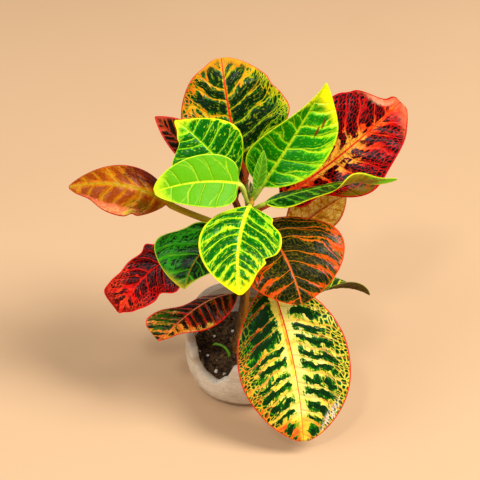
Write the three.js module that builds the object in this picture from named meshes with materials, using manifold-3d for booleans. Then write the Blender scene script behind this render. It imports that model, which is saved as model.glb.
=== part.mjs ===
// Potted croton: a rounded pot with a dipped rim, soil, one stem and its leaves.
// Millimetres, +Z up, the origin at the middle of the pot's flat base.
import * as THREE from 'three';
import { mergeVertices } from 'three/addons/utils/BufferGeometryUtils.js';
import Module from 'manifold-3d';

const wasm = await Module();
wasm.setup();

// Clear space between two pieces that touch on the plant.
const SEAT = 0.3;

// Pot: heights up the wall, radii from its axis.
const POT_COLUMNS = 48;
const POT_BASE_RADIUS = 37;
const POT_BELLY_RADIUS = 60;
const POT_BELLY_HEIGHT = 45;
const POT_NECK_IN = 7.5;
const POT_NECK_RISE = 48;
const POT_WALL = 8.5;
const POT_FLOOR = 9;
// Rim height at each bearing, in degrees from the front toward the right.
const RIM = [
  [-180, 93], [-140, 94], [-114, 92], [-97, 76], [-82, 66], [-67, 61], [-57, 49], [-43, 42],
  [-28, 38], [-18, 45], [-8, 60], [6, 72], [24, 80], [52, 86], [92, 88], [135, 91], [180, 93],
];

// Soil: a heaped surface that rises toward the back.
const SOIL_MIDDLE = 44.5;
const SOIL_SLOPE = 0.17;
const SOIL_LUMP = 1.3;
const SOIL_BELOW_RIM = 2.6;
const SOIL_COLUMNS = 48;
const SOIL_RINGS = 6;
// White grains in the surface: place and radius.
const PERLITE = [
  [-27, -37, 2.2], [-19, -40, 2.0], [-11, 22, 1.8], [14, -34, 1.7], [24, 12, 1.9], [-30, 12, 1.7],
  [-36, -14, 1.6], [6, 34, 2.0], [33, -12, 1.8], [-4, -36, 1.5],
];

// Stem: points along its middle and the radius at each.
const STEM = [
  [-8, -8, 24, 4.2], [-8, -8, 44, 4.4], [-5.5, -7.2, 66, 4.4], [1, -6, 100, 4.9],
  [4, -4, 150, 4.8], [5, -3, 190, 4.5], [6, -2, 214, 4.0], [6.5, -1.5, 226, 2.6],
];
const STEM_SIDES = 12;
const STEM_STATIONS = 17;
const STEM_KNOT = 0.25;
const STEM_HOLE_DEPTH = 22;

// Seedling: its foot in the soil, points along it and the radius at each.
const SPROUT = [
  [-14, -14, 33, 1.5], [-14, -14, 40, 1.5], [-14.5, -14, 46, 1.4], [-18, -13, 51.5, 1.3],
  [-23, -11.5, 54.5, 1.2], [-28, -10, 54.5, 0.9], [-31, -9, 53, 0.5],
];
const SPROUT_SIDES = 8;
const SPROUT_HOLE_DEPTH = 9.5;

// Small buds: foot, head and width.
const SIDE_SHOOT = { foot: [2.6, -9, 84], head: [7, -14.4, 95.5], width: 7 };
const GROWING_POINT = { foot: [6, -0.8, 226.6], head: [6.5, 1.5, 241], width: 4.4 };
const BUD_SIDES = 8;
// Width of a bud along its length, as [place, share of the width].
const BUD_SHAPE = [[0, 0.55], [0.2, 0.9], [0.45, 1], [0.7, 0.75], [0.9, 0.35], [1, 0.1]];

// Leaf mesh: stations along the stalk and the blade, columns across it.
const STALK_STATIONS = 5;
const BLADE_STATIONS = 16;
const ACROSS = [-1, -0.62, -0.22, 0, 0.22, 0.62, 1];
const BLADE_THICK = 0.9;
const STALK_RADIUS = 2.1;
const RIB_RADIUS = 1.5;

// Each leaf: where its stalk leaves the stem, where its blade starts and ends, the way its upper
// side looks, how far the midrib bows out of that line and sways within it, its full width, how
// the outline swells at the base (p) and closes at the tip (q), the slope of its halves at the
// midrib (fold) and how much that slope turns by the margin (cup), in degrees, the twist from
// base to tip, and the waves of its margin as height, count and phase. A pair holds the left and
// right half, and lop makes one half wider. A nick is [place, side, depth, length], or a bulge if
// its depth is negative, and a curl is [place, side, degrees, length].
const LEAVES = {
  leaf_top: {
    stalk: 204, base: [0, 17, 246], tip: [-21, 66, 337], faces: [0, -0.8, 0.6],
    bow: [-4, 10], sway: [-5, -3], width: 101, p: 0.5, q: [0.62, 0.6], fold: 6, cup: -12, lop: 0.07,
    nicks: [[0.7, 1, 0.06, 0.06], [0.45, 1, -0.07, 0.12], [0.93, -1, 0.12, 0.05]],
    wave: [3, 2.5, 0.1], colour: 0x4f5a1e,
  },
  leaf_upper_left: {
    stalk: 217, base: [-5, 2, 238], tip: [-64, 11, 297], faces: [0, -0.8, 0.6],
    bow: [6, 6], sway: [0, 4], width: 74, p: [0.8, 1.1], q: [0.9, 1.35], fold: 6, lop: -0.1,
    nicks: [[0.8, -1, 0.34, 0.05], [0.92, -1, 0.5, 0.1], [0.66, -1, -0.08, 0.06]],
    wave: [1.5, 2, 0], colour: 0x2c8a1c,
  },
  leaf_upper_right: {
    stalk: 216, base: [18, 0, 233], tip: [77, 20, 331], faces: [0.3, -0.9, 0.3],
    bow: [4, 4], width: 74, p: [0.6, 0.8], q: [1.2, 0.85], fold: 26, twist: -65,
    nicks: [[0.74, 1, -0.1, 0.14]], colour: 0x64b41e,
  },
  leaf_right_narrow: {
    stalk: 207, base: [21, -10, 221], tip: [143, -26, 255], faces: [-0.2, 0.2, 1],
    bow: [6, 9], width: 46, p: 0.6, q: 0.6, fold: -10, twist: 50,
    nicks: [[0.68, 1, -0.15, 0.08]], curls: [[0.73, 1, 130, 0.12]], wave: [2, 1.6, 0.3],
    colour: 0x2f7a1a,
  },
  leaf_lime: {
    stalk: 215, base: [-5, -17, 245], tip: [-82, -42, 249], faces: [0, -0.8, 0.6],
    bow: [5, 5], sway: [6, 6], width: 51, p: 0.3, q: 0.62, fold: 8, colour: 0x8ad41e,
  },
  leaf_front: {
    stalk: 199, base: [6, -17, 221], tip: [-3, -85, 164], faces: [0, -0.75, 0.7],
    bow: [8, 12], sway: [8, 8], width: 77, p: [0.6, 1], q: [0.8, 1.05], fold: 6, lop: -0.03,
    nicks: [
      [0.07, -1, -0.2, 0.04], [0.17, -1, 0.1, 0.05], [0.63, -1, 0.2, 0.035], [0.8, -1, 0.3, 0.17],
    ],
    colour: 0xa8c81e,
  },
  leaf_left_green: {
    stalk: 182, base: [-9, -8, 194], tip: [-56, -52, 149], faces: [-0.4, -0.55, 0.7],
    bow: [8, 12], sway: [6, 10], width: 80, p: [0.6, 1.4], q: [1.1, 0.95], fold: 14, lop: 0.02,
    nicks: [[0.42, 1, 0.16, 0.13], [0.68, 1, -0.12, 0.12], [0.25, -1, 0.2, 0.15]], wave: [1.5, 2, 0.4],
    colour: 0x1f5f1c,
  },
  leaf_left_orange: {
    stalk: 176, base: [-72, 4, 213], tip: [-166, -6, 235], faces: [0, -0.7, 0.8],
    bow: [20, 24], sway: [6, 6], width: 54, p: [0.7, 0.5], q: 0.8, fold: -8, cup: -20, lop: -0.1,
    nicks: [[0.33, -1, 0.1, 0.05], [0.85, -1, 0.2, 0.1]], stalk_radius: 3.4, colour: 0xb4541c,
  },
  leaf_left_red: {
    stalk: 168, base: [-35, -4, 173], tip: [-122, -36, 110], faces: [0, -0.7, 0.8],
    bow: [10, 20], sway: [14, 14], width: 54, p: [0.5, 0.8], q: [0.5, 0.25], fold: -5,
    nicks: [
      [0.6, 1, 0.1, 0.25], [0.72, 1, 0.15, 0.08], [0.94, 1, -0.12, 0.06], [1, 1, 0.85, 0.04],
      [0.44, 1, -0.3, 0.045], [0.45, -1, -0.2, 0.1], [0.61, -1, 0.14, 0.06], [0.9, -1, 0.14, 0.07],
      [1, -1, 0.8, 0.05],
    ],
    wave: [2.5, 2.5, 0.2], colour: 0x9c1a1c,
  },
  leaf_low_left: {
    stalk: 112, base: [-6, -14, 121], tip: [-83, -62, 96], faces: [-0.5, -0.6, 0.62],
    bow: [8, 9], sway: [14, 0], width: 56, p: 0.5, q: [0.85, 0.2], fold: -26, twist: 90,
    lop: 0.1, nicks: [[0.5, 1, 0.55, 0.25], [0.85, 1, 0.12, 0.15], [0.8, -1, 0.25, 0.15]], colour: 0x8a3a1c,
  },
  leaf_big_front: {
    stalk: 142, base: [26, -30, 146], tip: [58, -118, 17], faces: [0, -0.83, 0.56],
    bow: [10, 14], sway: [-8, -8], width: 108, p: 0.75, q: 0.7, fold: 6, wave: [1.5, 3, 0.1],
    colour: 0xc8b450,
  },
  leaf_mid_orange: {
    stalk: 190, base: [16, -18, 204], tip: [54, -86, 155], faces: [0.1, -0.75, 0.7],
    bow: [10, 14], sway: [-6, -6], width: 104, p: [0.75, 0.45], q: [0.75, 0.6], fold: -3,
    cup: -10, lop: -0.12, nicks: [[0.5, -1, -0.04, 0.15]], wave: [1.5, 2.5, 0.3],
    colour: 0x8c4a1c,
  },
  leaf_right_red: {
    stalk: 198, base: [39, 24, 207], tip: [153, 56, 296], faces: [0, -0.8, 0.6],
    bow: [6, 6], sway: [5, 5], width: 82, p: 0.5, q: 0.5, fold: 6,
    nicks: [
      [0.2, 1, 0.4, 0.12], [0.5, 1, -0.16, 0.14], [0.6, -1, -0.34, 0.13], [0.84, -1, -0.2, 0.05],
      [0.75, -1, -0.17, 0.06], [0.94, -1, 0.4, 0.05], [0.93, 1, 0.08, 0.05],
    ],
    wave: [2, 2, 0.3], colour: 0x9c1c18,
  },
  leaf_right_olive: {
    stalk: 160, base: [45, 16, 170], tip: [102, 34, 205], faces: [0, 1, 0],
    bow: [6, 6], width: 56, p: 0.6, q: [0.75, 0.6], fold: 6, wave: [2, 2, 0.2], colour: 0x9a7a24,
  },
  leaf_small_right: {
    stalk: 104, base: [57, -4, 107], tip: [129, 6, 104], faces: [0.1, 0.25, 0.95],
    bow: [12, 18], width: 36, p: 0.6, q: 0.8, fold: 22, twist: 60, colour: 0x4a6a1c,
  },
  leaf_back_left: {
    stalk: 191, base: [-26, 13, 238], tip: [-84, 27, 293], faces: [-0.3, -1, 0.26],
    bow: [4, 4], width: 40, p: 0.7, q: 0.9, fold: 12, lop: 0.4, colour: 0x8a2420,
  },
  leaf_back: {
    stalk: 186, base: [-8, 30, 204], tip: [-34, 96, 232], faces: [-0.3, -0.3, 0.9],
    bow: [10, 14], width: 58, p: 0.6, q: 0.7, fold: 6, cup: -10, wave: [2, 2, 0.5],
    colour: 0x6a3a1c,
  },
  leaf_young: {
    stalk: 222, base: [12, -10, 235], tip: [19, -8, 275], faces: [0.2, -0.86, 0.52],
    bow: [2, 2], width: 14, p: 0.7, q: 0.9, fold: 30, stalk_radius: 1.4, colour: 0x7cc83c,
  },
};

const vec = (p) => new THREE.Vector3(p[0], p[1], p[2]);
const half = (value, side) => (Array.isArray(value) ? value[side > 0 ? 1 : 0] : value);
const radians = THREE.MathUtils.degToRad;

function paint(colour, roughness) {
  return new THREE.MeshStandardMaterial({ color: colour, roughness, metalness: 0 });
}

function meshOf(name, geometry, material) {
  const mesh = new THREE.Mesh(geometry, material);
  mesh.name = name;
  return mesh;
}

// A closed skin over rings of points that all have the same count, fanned shut at both ends.
function skin(rings, flips = () => false) {
  const n = rings[0].length;
  const points = rings.flat();
  const faces = [];
  for (let i = 0; i < rings.length - 1; i += 1) {
    for (let j = 0; j < n; j += 1) {
      const a = i * n + j;
      const b = i * n + (j + 1) % n;
      const c = a + n;
      const d = b + n;
      if (flips(j)) {
        faces.push(a, b, c, b, d, c);
      } else {
        faces.push(a, b, d, a, d, c);
      }
    }
  }
  const last = (rings.length - 1) * n;
  for (const [start, forward] of [[0, false], [last, true]]) {
    const middle = new THREE.Vector3();
    for (let j = 0; j < n; j += 1) {
      middle.addScaledVector(points[start + j], 1 / n);
    }
    points.push(middle);
    for (let j = 0; j < n; j += 1) {
      const a = start + j;
      const b = start + (j + 1) % n;
      faces.push(...(forward ? [a, b, points.length - 1] : [b, a, points.length - 1]));
    }
  }
  const geometry = new THREE.BufferGeometry();
  const places = points.flatMap((p) => p.toArray());
  geometry.setAttribute('position', new THREE.Float32BufferAttribute(places, 3));
  geometry.setIndex(faces);
  return outward(geometry);
}

// Turns a closed skin's faces outward.
function outward(geometry) {
  const p = geometry.getAttribute('position');
  const index = geometry.getIndex().array;
  let volume = 0;
  for (let i = 0; i < index.length; i += 3) {
    const [a, b, c] = [0, 1, 2].map((k) => new THREE.Vector3().fromBufferAttribute(p, index[i + k]));
    volume += a.dot(b.cross(c));
  }
  if (volume < 0) {
    for (let i = 0; i < index.length; i += 3) {
      [index[i], index[i + 1]] = [index[i + 1], index[i]];
    }
  }
  return geometry;
}

function toSolid(geometry) {
  const bare = geometry.clone();
  bare.deleteAttribute('normal');
  bare.deleteAttribute('uv');
  const merged = mergeVertices(bare, 1e-4);
  return new wasm.Manifold(new wasm.Mesh({
    numProp: 3,
    vertProperties: new Float32Array(merged.getAttribute('position').array),
    triVerts: new Uint32Array(merged.getIndex().array),
  }));
}

function fromSolid(solid) {
  const mesh = solid.getMesh();
  const geometry = new THREE.BufferGeometry();
  geometry.setAttribute('position', new THREE.Float32BufferAttribute(mesh.vertProperties, 3));
  geometry.setIndex(new THREE.BufferAttribute(new Uint32Array(mesh.triVerts), 1));
  return geometry;
}

// A value read from a list of [place, value] pairs, eased between them.
function eased(list, place) {
  let k = 0;
  while (k < list.length - 2 && place > list[k + 1][0]) {
    k += 1;
  }
  const t = (place - list[k][0]) / (list[k + 1][0] - list[k][0]);
  return THREE.MathUtils.lerp(list[k][1], list[k + 1][1], t * t * (3 - 2 * t));
}

// Pot
function potRadius(z) {
  if (z < POT_BELLY_HEIGHT) {
    const swell = (1 - (1 - Math.max(z, 0) / POT_BELLY_HEIGHT) ** 2.2) ** 0.625;
    return POT_BASE_RADIUS + (POT_BELLY_RADIUS - POT_BASE_RADIUS) * swell;
  }
  return POT_BELLY_RADIUS - POT_NECK_IN * ((z - POT_BELLY_HEIGHT) / POT_NECK_RISE) ** 1.8;
}

function around(bearing, radius, z) {
  const a = radians(bearing);
  return new THREE.Vector3(radius * Math.sin(a), -radius * Math.cos(a), z);
}

function handMade(bearing) {
  const a = radians(bearing);
  return 1 + 0.006 * Math.sin(2 * a + 0.7) + 0.004 * Math.sin(5 * a);
}

function potGeometry() {
  const rings = [];
  const wall = [0, 0.035, 0.1, 0.22, 0.4, 0.6, 0.8, 0.95];
  const outside = (f) => (b) => {
    const top = eased(RIM, b);
    return around(b, potRadius(f * top) * (f > 0 ? handMade(b) : 1), f * top);
  };
  const lip = (inset, drop) => (b) => {
    const top = eased(RIM, b);
    return around(b, (potRadius(top) - POT_WALL * inset) * handMade(b), top - drop);
  };
  const inside = (f) => (b) => {
    const z = THREE.MathUtils.lerp(eased(RIM, b), POT_FLOOR, f);
    const near = f > 0.98 ? 5 : 0;
    return around(b, (potRadius(z) - POT_WALL - near) * handMade(b), z);
  };
  const rows = [
    ...wall.map(outside), lip(0.1, 1.4), lip(0.35, 0), lip(0.7, 0.1), lip(0.96, 1.6),
    inside(0.12), inside(0.35), inside(0.6), inside(0.82), inside(0.93), inside(1),
  ];
  for (const row of rows) {
    const ring = [];
    for (let k = 0; k < POT_COLUMNS; k += 1) {
      ring.push(row(-180 + (360 * k) / POT_COLUMNS));
    }
    rings.push(ring);
  }
  return skin(rings);
}

// Soil
function soilHeight(x, y) {
  const lumps = Math.sin(0.31 * x + 1.1) * Math.cos(0.27 * y + 0.4)
    + 0.6 * Math.sin(0.53 * x - 0.41 * y + 2.0);
  return SOIL_MIDDLE + SOIL_SLOPE * y + SOIL_LUMP * lumps;
}

function soilGeometry() {
  const rings = [];
  // Where the surface meets the wall: just below the rim where the rim is low.
  const edgeOf = (b) => {
    let point = around(b, POT_BELLY_RADIUS - POT_WALL, SOIL_MIDDLE);
    for (let k = 0; k < 4; k += 1) {
      const z = Math.min(soilHeight(point.x, point.y), eased(RIM, b) - SOIL_BELOW_RIM);
      point = around(b, (potRadius(z) - POT_WALL) * handMade(b) - SEAT - 0.25, z);
    }
    return point;
  };
  const bearings = Array.from({ length: SOIL_COLUMNS }, (_, k) => -180 + (360 * k) / SOIL_COLUMNS);
  const floor = POT_FLOOR + SEAT;
  for (const [f, inset] of [[0, 6], [0.3, 0.5], [0.6, 0.5]]) {
    rings.push(bearings.map((b) => {
      const z = THREE.MathUtils.lerp(floor, edgeOf(b).z, f);
      return around(b, (potRadius(z) - POT_WALL) * handMade(b) - SEAT - inset, z);
    }));
  }
  for (let r = 0; r < SOIL_RINGS; r += 1) {
    const f = 1 - r / SOIL_RINGS;
    rings.push(bearings.map((b) => {
      const edge = edgeOf(b);
      const x = edge.x * f;
      const y = edge.y * f;
      const z = THREE.MathUtils.lerp(soilHeight(x, y), edge.z, f ** 6);
      return new THREE.Vector3(x, y, z);
    }));
  }
  return skin(rings);
}

function grainGeometry(x, y, radius) {
  const grain = new THREE.IcosahedronGeometry(radius, 0);
  grain.rotateZ(x);
  grain.rotateX(y);
  grain.translate(x, y, soilHeight(x, y) - radius * 0.15);
  return grain;
}

// Stem
const stemLine = new THREE.CatmullRomCurve3(STEM.map(vec), false, 'catmullrom', 0.5);

function stemRadius(t) {
  const place = t * (STEM.length - 1);
  const k = Math.min(Math.floor(place), STEM.length - 2);
  return THREE.MathUtils.lerp(STEM[k][3], STEM[k + 1][3], place - k);
}

function stemAt(height) {
  let low = 0;
  let high = 1;
  for (let k = 0; k < 30; k += 1) {
    const middle = (low + high) / 2;
    if (stemLine.getPoint(middle).z < height) {
      low = middle;
    } else {
      high = middle;
    }
  }
  return stemLine.getPoint(low);
}

function stemGeometry(extra) {
  const rings = [];
  for (let i = 0; i <= STEM_STATIONS; i += 1) {
    const t = i / STEM_STATIONS;
    const middle = stemLine.getPoint(t);
    const along = stemLine.getTangent(t);
    const side = new THREE.Vector3(0, 1, 0).cross(along).normalize();
    const other = along.clone().cross(side);
    const ring = [];
    for (let k = 0; k < STEM_SIDES; k += 1) {
      const a = (2 * Math.PI * k) / STEM_SIDES;
      const knot = extra > 0 || t < 0.2 ? 0 : STEM_KNOT * Math.cos(9 * Math.PI * t);
      const r = stemRadius(t) - STEM_KNOT + knot + extra;
      ring.push(middle.clone()
        .addScaledVector(side, r * Math.cos(a))
        .addScaledVector(other, r * Math.sin(a)));
    }
    rings.push(ring);
  }
  return skin(rings);
}

// Leaf: one skin from the stalk's root to the tip of the blade.
function leafFrame(leaf, s) {
  const base = vec(leaf.base);
  const tip = vec(leaf.tip);
  const chord = tip.clone().sub(base);
  const line = chord.clone().normalize();
  const faces = vec(leaf.faces);
  const up = faces.addScaledVector(line, -faces.dot(line)).normalize();
  const across = line.clone().cross(up);
  const sway = leaf.sway ?? [0, 0];
  const inner = [0, 1].map((k) => base.clone()
    .addScaledVector(chord, (k + 1) / 3)
    .addScaledVector(up, leaf.bow[k])
    .addScaledVector(across, sway[k]));
  const curve = new THREE.CubicBezierCurve3(base, ...inner, tip);
  const along = curve.getTangent(s);
  const normal = up.addScaledVector(along, -up.dot(along)).normalize();
  const side = along.clone().cross(normal);
  const turn = radians((leaf.twist ?? 0) * (s - 0.4));
  return {
    middle: curve.getPoint(s),
    along,
    normal: normal.clone().multiplyScalar(Math.cos(turn)).addScaledVector(side, -Math.sin(turn)),
    side: side.clone().multiplyScalar(Math.cos(turn)).addScaledVector(normal, Math.sin(turn)),
  };
}

function halfWidth(leaf, s, side) {
  const p = half(leaf.p, side);
  const q = half(leaf.q, side);
  const peak = p / (p + q);
  let w = (leaf.width / 2) * (s / peak) ** p * ((1 - s) / (1 - peak)) ** q;
  w *= 1 + (leaf.lop ?? 0) * side;
  for (const [at, which, deep, long] of leaf.nicks ?? []) {
    if (which === side) {
      w *= 1 - deep * Math.exp(-(((s - at) / long) ** 2));
    }
  }
  return w;
}

function bladePoint(leaf, s, v) {
  const side = v > 0 ? 1 : -1;
  const reach = Math.abs(v);
  const frame = leafFrame(leaf, s);
  const w = Math.max(halfWidth(leaf, s, side), s < 0.5 ? RIB_RADIUS : 0.8);
  let turn = leaf.cup ?? 0;
  for (const [at, which, degrees, long] of leaf.curls ?? []) {
    if (which === side) {
      turn += degrees * Math.exp(-(((s - at) / long) ** 2));
    }
  }
  let x = 0;
  let z = 0;
  const steps = 10;
  for (let k = 0; k < steps; k += 1) {
    const u = (reach * (k + 0.5)) / steps;
    const slope = radians((leaf.fold ?? 0) + turn * u * u);
    x += (reach / steps) * Math.cos(slope);
    z += (reach / steps) * Math.sin(slope);
  }
  const [height, count, phase] = leaf.wave ?? [0, 1, 0];
  const ripple = Math.sin(2 * Math.PI * (count * s + phase + (side > 0 ? 0.3 : 0)));
  const lift = height * v * v * ripple * Math.min(1, 4 * s, 4 * (1 - s));
  return frame.middle.clone()
    .addScaledVector(frame.side, side * w * x)
    .addScaledVector(frame.normal, w * z + lift);
}

function bladeRing(leaf, s, radius) {
  const e = 0.004;
  const upper = ACROSS.map((v) => bladePoint(leaf, s, v));
  const under = ACROSS.map((v, k) => {
    const inner = Math.sign(v || 1) * Math.min(Math.abs(v) + 0.02, 1);
    const a = bladePoint(leaf, Math.min(s + e, 1), v).sub(bladePoint(leaf, Math.max(s - e, 0), v));
    const b = bladePoint(leaf, s, inner).sub(bladePoint(leaf, s, inner - Math.sign(v || 1) * 0.04));
    const normal = b.cross(a).multiplyScalar(Math.sign(v || 1)).normalize();
    const frame = leafFrame(leaf, s);
    const down = k === 3 ? frame.normal : normal;
    const rib = k === 3 ? Math.max(2 * radius * (1 - s) ** 0.8, BLADE_THICK) : BLADE_THICK;
    return upper[k].clone().addScaledVector(down, -rib);
  });
  return [...upper, ...under.reverse()];
}

function stalkRing(curve, t, leaf, radius) {
  const middle = curve.getPoint(t);
  const along = curve.getTangent(t);
  const normal = leafFrame(leaf, 0).normal;
  normal.addScaledVector(along, -normal.dot(along)).normalize();
  const side = along.clone().cross(normal);
  const count = ACROSS.length * 2;
  const ring = [];
  for (let k = 0; k < count; k += 1) {
    const a = Math.PI - ((k + 0.5) * 2 * Math.PI) / count;
    const out = side.clone().multiplyScalar(Math.cos(a)).addScaledVector(normal, Math.sin(a));
    ring.push(middle.clone().addScaledVector(out, radius).addScaledVector(normal, -radius * t));
  }
  return ring;
}

function leafGeometry(leaf) {
  const radius = leaf.stalk_radius ?? STALK_RADIUS;
  const root = stemAt(leaf.stalk);
  const base = vec(leaf.base);
  const reach = base.distanceTo(root);
  const out = new THREE.Vector3(base.x - root.x, base.y - root.y, 0).normalize();
  out.multiplyScalar(0.8).add(new THREE.Vector3(0, 0, 0.6));
  const p1 = root.clone().addScaledVector(out, reach / 3);
  const p2 = base.clone().addScaledVector(leafFrame(leaf, 0).along, -reach / 3);
  const curve = new THREE.CubicBezierCurve3(root, p1, p2, base);
  const rings = [];
  for (let i = 0; i < STALK_STATIONS; i += 1) {
    rings.push(stalkRing(curve, i / STALK_STATIONS, leaf, radius));
  }
  for (let i = 0; i <= BLADE_STATIONS; i += 1) {
    const s = 0.012 + 0.98 * (i / BLADE_STATIONS);
    rings.push(bladeRing(leaf, s, Math.min(radius, RIB_RADIUS)));
  }
  const turned = ACROSS.length;
  return skin(rings, (j) => j >= turned && j < 2 * turned - 1);
}

// Small growth: a shoot on the stem, the growing point and a seedling on the soil.
function ringAcross(middle, along, radius, sides, reference) {
  const side = reference.clone().cross(along).normalize();
  const other = along.clone().cross(side);
  return Array.from({ length: sides }, (_, k) => {
    const a = (2 * Math.PI * k) / sides;
    return middle.clone()
      .addScaledVector(side, radius * Math.cos(a))
      .addScaledVector(other, radius * Math.sin(a));
  });
}

function budGeometry({ foot, head, width }) {
  const start = vec(foot);
  const along = vec(head).sub(start);
  const line = along.clone().normalize();
  const reference = new THREE.Vector3(0, 1, 0.1);
  return skin(BUD_SHAPE.map(([t, w]) => {
    const middle = start.clone().addScaledVector(along, t);
    return ringAcross(middle, line, (w * width) / 2, BUD_SIDES, reference);
  }));
}

function sproutGeometry() {
  const line = new THREE.CatmullRomCurve3(SPROUT.map(vec), false, 'catmullrom', 0.5);
  const reference = new THREE.Vector3(0, 1, 0);
  return skin(SPROUT.map(([, , , radius], k) => {
    const t = k / (SPROUT.length - 1);
    return ringAcross(line.getPoint(t), line.getTangent(t), radius, SPROUT_SIDES, reference);
  }));
}

// A round hole straight down into the soil, for what stands in it.
function plainHole([x, y, , radius], depth) {
  const length = 60;
  const hole = new THREE.CylinderGeometry(radius + SEAT, radius + SEAT, length, 20);
  hole.rotateX(Math.PI / 2);
  hole.translate(x, y, soilHeight(x, y) - depth + length / 2);
  return toSolid(hole);
}

const plant = new THREE.Group();

plant.add(meshOf('pot', potGeometry(), paint(0xbdb6a6, 0.9)));

let soil = toSolid(soilGeometry());
for (const [x, y, radius] of PERLITE) {
  soil = soil.add(toSolid(grainGeometry(x, y, radius)));
}
soil = soil.subtract(plainHole(STEM[0], STEM_HOLE_DEPTH));
soil = soil.subtract(plainHole(SPROUT[0], SPROUT_HOLE_DEPTH));
plant.add(meshOf('soil', fromSolid(soil), paint(0x3a2a20, 1)));

plant.add(meshOf('stem', stemGeometry(0), paint(0x7a5a2a, 0.7)));
const stemRoom = toSolid(stemGeometry(SEAT));

for (const [name, leaf] of Object.entries(LEAVES)) {
  const solid = toSolid(leafGeometry(leaf)).subtract(stemRoom);
  plant.add(meshOf(name, fromSolid(solid), paint(leaf.colour, 0.35)));
}

const shoot = toSolid(budGeometry(SIDE_SHOOT)).subtract(stemRoom);
plant.add(meshOf('side_shoot', fromSolid(shoot), paint(0xa8c832, 0.5)));

const point = toSolid(budGeometry(GROWING_POINT)).subtract(stemRoom);
plant.add(meshOf('growing_point', fromSolid(point), paint(0x6a8a28, 0.5)));

plant.add(meshOf('seedling', sproutGeometry(), paint(0x6aa018, 0.5)));

export default plant;
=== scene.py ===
# The looks of a potted croton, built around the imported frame. Sizes are in millimetres until a
# mesh is made, then in metres, with +Z up.
import math
import random
from types import SimpleNamespace

import bpy
import numpy as np
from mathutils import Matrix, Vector, noise


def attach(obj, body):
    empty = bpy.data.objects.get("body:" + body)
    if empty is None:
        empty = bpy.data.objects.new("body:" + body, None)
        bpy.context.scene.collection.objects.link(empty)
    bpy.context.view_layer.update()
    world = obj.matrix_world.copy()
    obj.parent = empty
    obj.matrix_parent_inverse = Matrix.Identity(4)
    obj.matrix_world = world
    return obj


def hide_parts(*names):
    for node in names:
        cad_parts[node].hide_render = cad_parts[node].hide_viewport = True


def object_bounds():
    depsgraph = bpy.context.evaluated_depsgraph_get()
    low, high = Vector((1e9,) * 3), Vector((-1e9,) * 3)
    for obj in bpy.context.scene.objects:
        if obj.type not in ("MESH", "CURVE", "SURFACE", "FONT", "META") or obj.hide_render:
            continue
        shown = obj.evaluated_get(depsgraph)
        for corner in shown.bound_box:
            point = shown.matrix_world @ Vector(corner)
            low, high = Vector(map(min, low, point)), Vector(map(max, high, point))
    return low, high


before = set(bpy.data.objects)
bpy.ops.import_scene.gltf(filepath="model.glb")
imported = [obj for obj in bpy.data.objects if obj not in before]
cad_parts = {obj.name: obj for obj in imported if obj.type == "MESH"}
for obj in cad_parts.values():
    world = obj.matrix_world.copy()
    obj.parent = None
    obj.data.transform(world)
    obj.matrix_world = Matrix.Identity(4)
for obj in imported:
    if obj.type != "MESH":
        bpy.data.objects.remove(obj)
CAD_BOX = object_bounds()
MM = 0.001
FINE = 1.0

# Rows, sides and numbers of pieces in the meshes
POT_SIDES = int(288 * FINE)
POT_OUTSIDE_ROWS = int(70 * FINE)
POT_RIM_ROWS = 14
POT_INSIDE_ROWS = int(30 * FINE)
SOIL_SIDES = int(180 * FINE)
SOIL_ROWS = int(70 * FINE)
CRUMBS = int(700 * FINE)
LOOSE_PERLITE = 9
LARGE_ROCK = (8, 12)
SMALL_ROCK = (5, 8)
STEM_SIDES = 40
STEM_ROWS = int(220 * FINE)
LEAF_ROWS = int(84 * FINE) + 12
LEAF_COLUMNS = 2 * int(24 * FINE) + 1
STALK_ROWS = 16
SHOOT_ROWS = 22
SHOOT_COLUMNS = 13
SPROUT_SIDES = 16
SPROUT_ROWS = 48

# Seeds of the random draws, and how the patterns shift from leaf to leaf
CRUMB_SEED = 11
PERLITE_SEED = 5
LEAF_SEED = 0.4
LEAF_SEED_STEP = 1.37

# Camera, in degrees and metres, with its lens and sensor in millimetres
ELEVATION = 31
DISTANCE = 1.110
AIM = Vector((-0.003, 0.0, 0.173))
LENS = 85
SENSOR = 36

# Each light's place, aim and size in metres, its power in watts and its colour; the sky that
# fills the shadows; and the floor's reach in metres
LIGHTS = {
    "key": ((2.4, -0.9, 3.3), (0, 0, 0.15), 1.9, 166, (1.0, 0.95, 0.88)),
    "fill": ((-1.8, -1.2, 1.6), (0, 0, 0.15), 1.8, 18, (1.0, 0.97, 0.94)),
    "front": ((-0.5, -1.4, 2.0), (0, 0, 0.2), 0.3, 10, (1.0, 0.98, 0.96)),
}
SKY_COLOUR = (1.0, 0.92, 0.82, 1.0)
SKY_STRENGTH = 0.42
FLOOR_REACH = 30.0

# Pot, as in the frame's source
POT_BASE_RADIUS = 37
POT_BELLY_RADIUS = 60
POT_BELLY_HEIGHT = 45
POT_NECK_IN = 7.5
POT_NECK_RISE = 48
POT_WALL = 8.5
POT_FLOOR = 9
POT_INNER_FOOT = 5
RIM = [
    (-180, 93), (-140, 94), (-114, 92), (-97, 76), (-82, 66), (-67, 61), (-57, 49), (-43, 42),
    (-28, 38), (-18, 45), (-8, 60), (6, 72), (24, 80), (52, 86), (92, 88), (135, 91), (180, 93),
]

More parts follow.
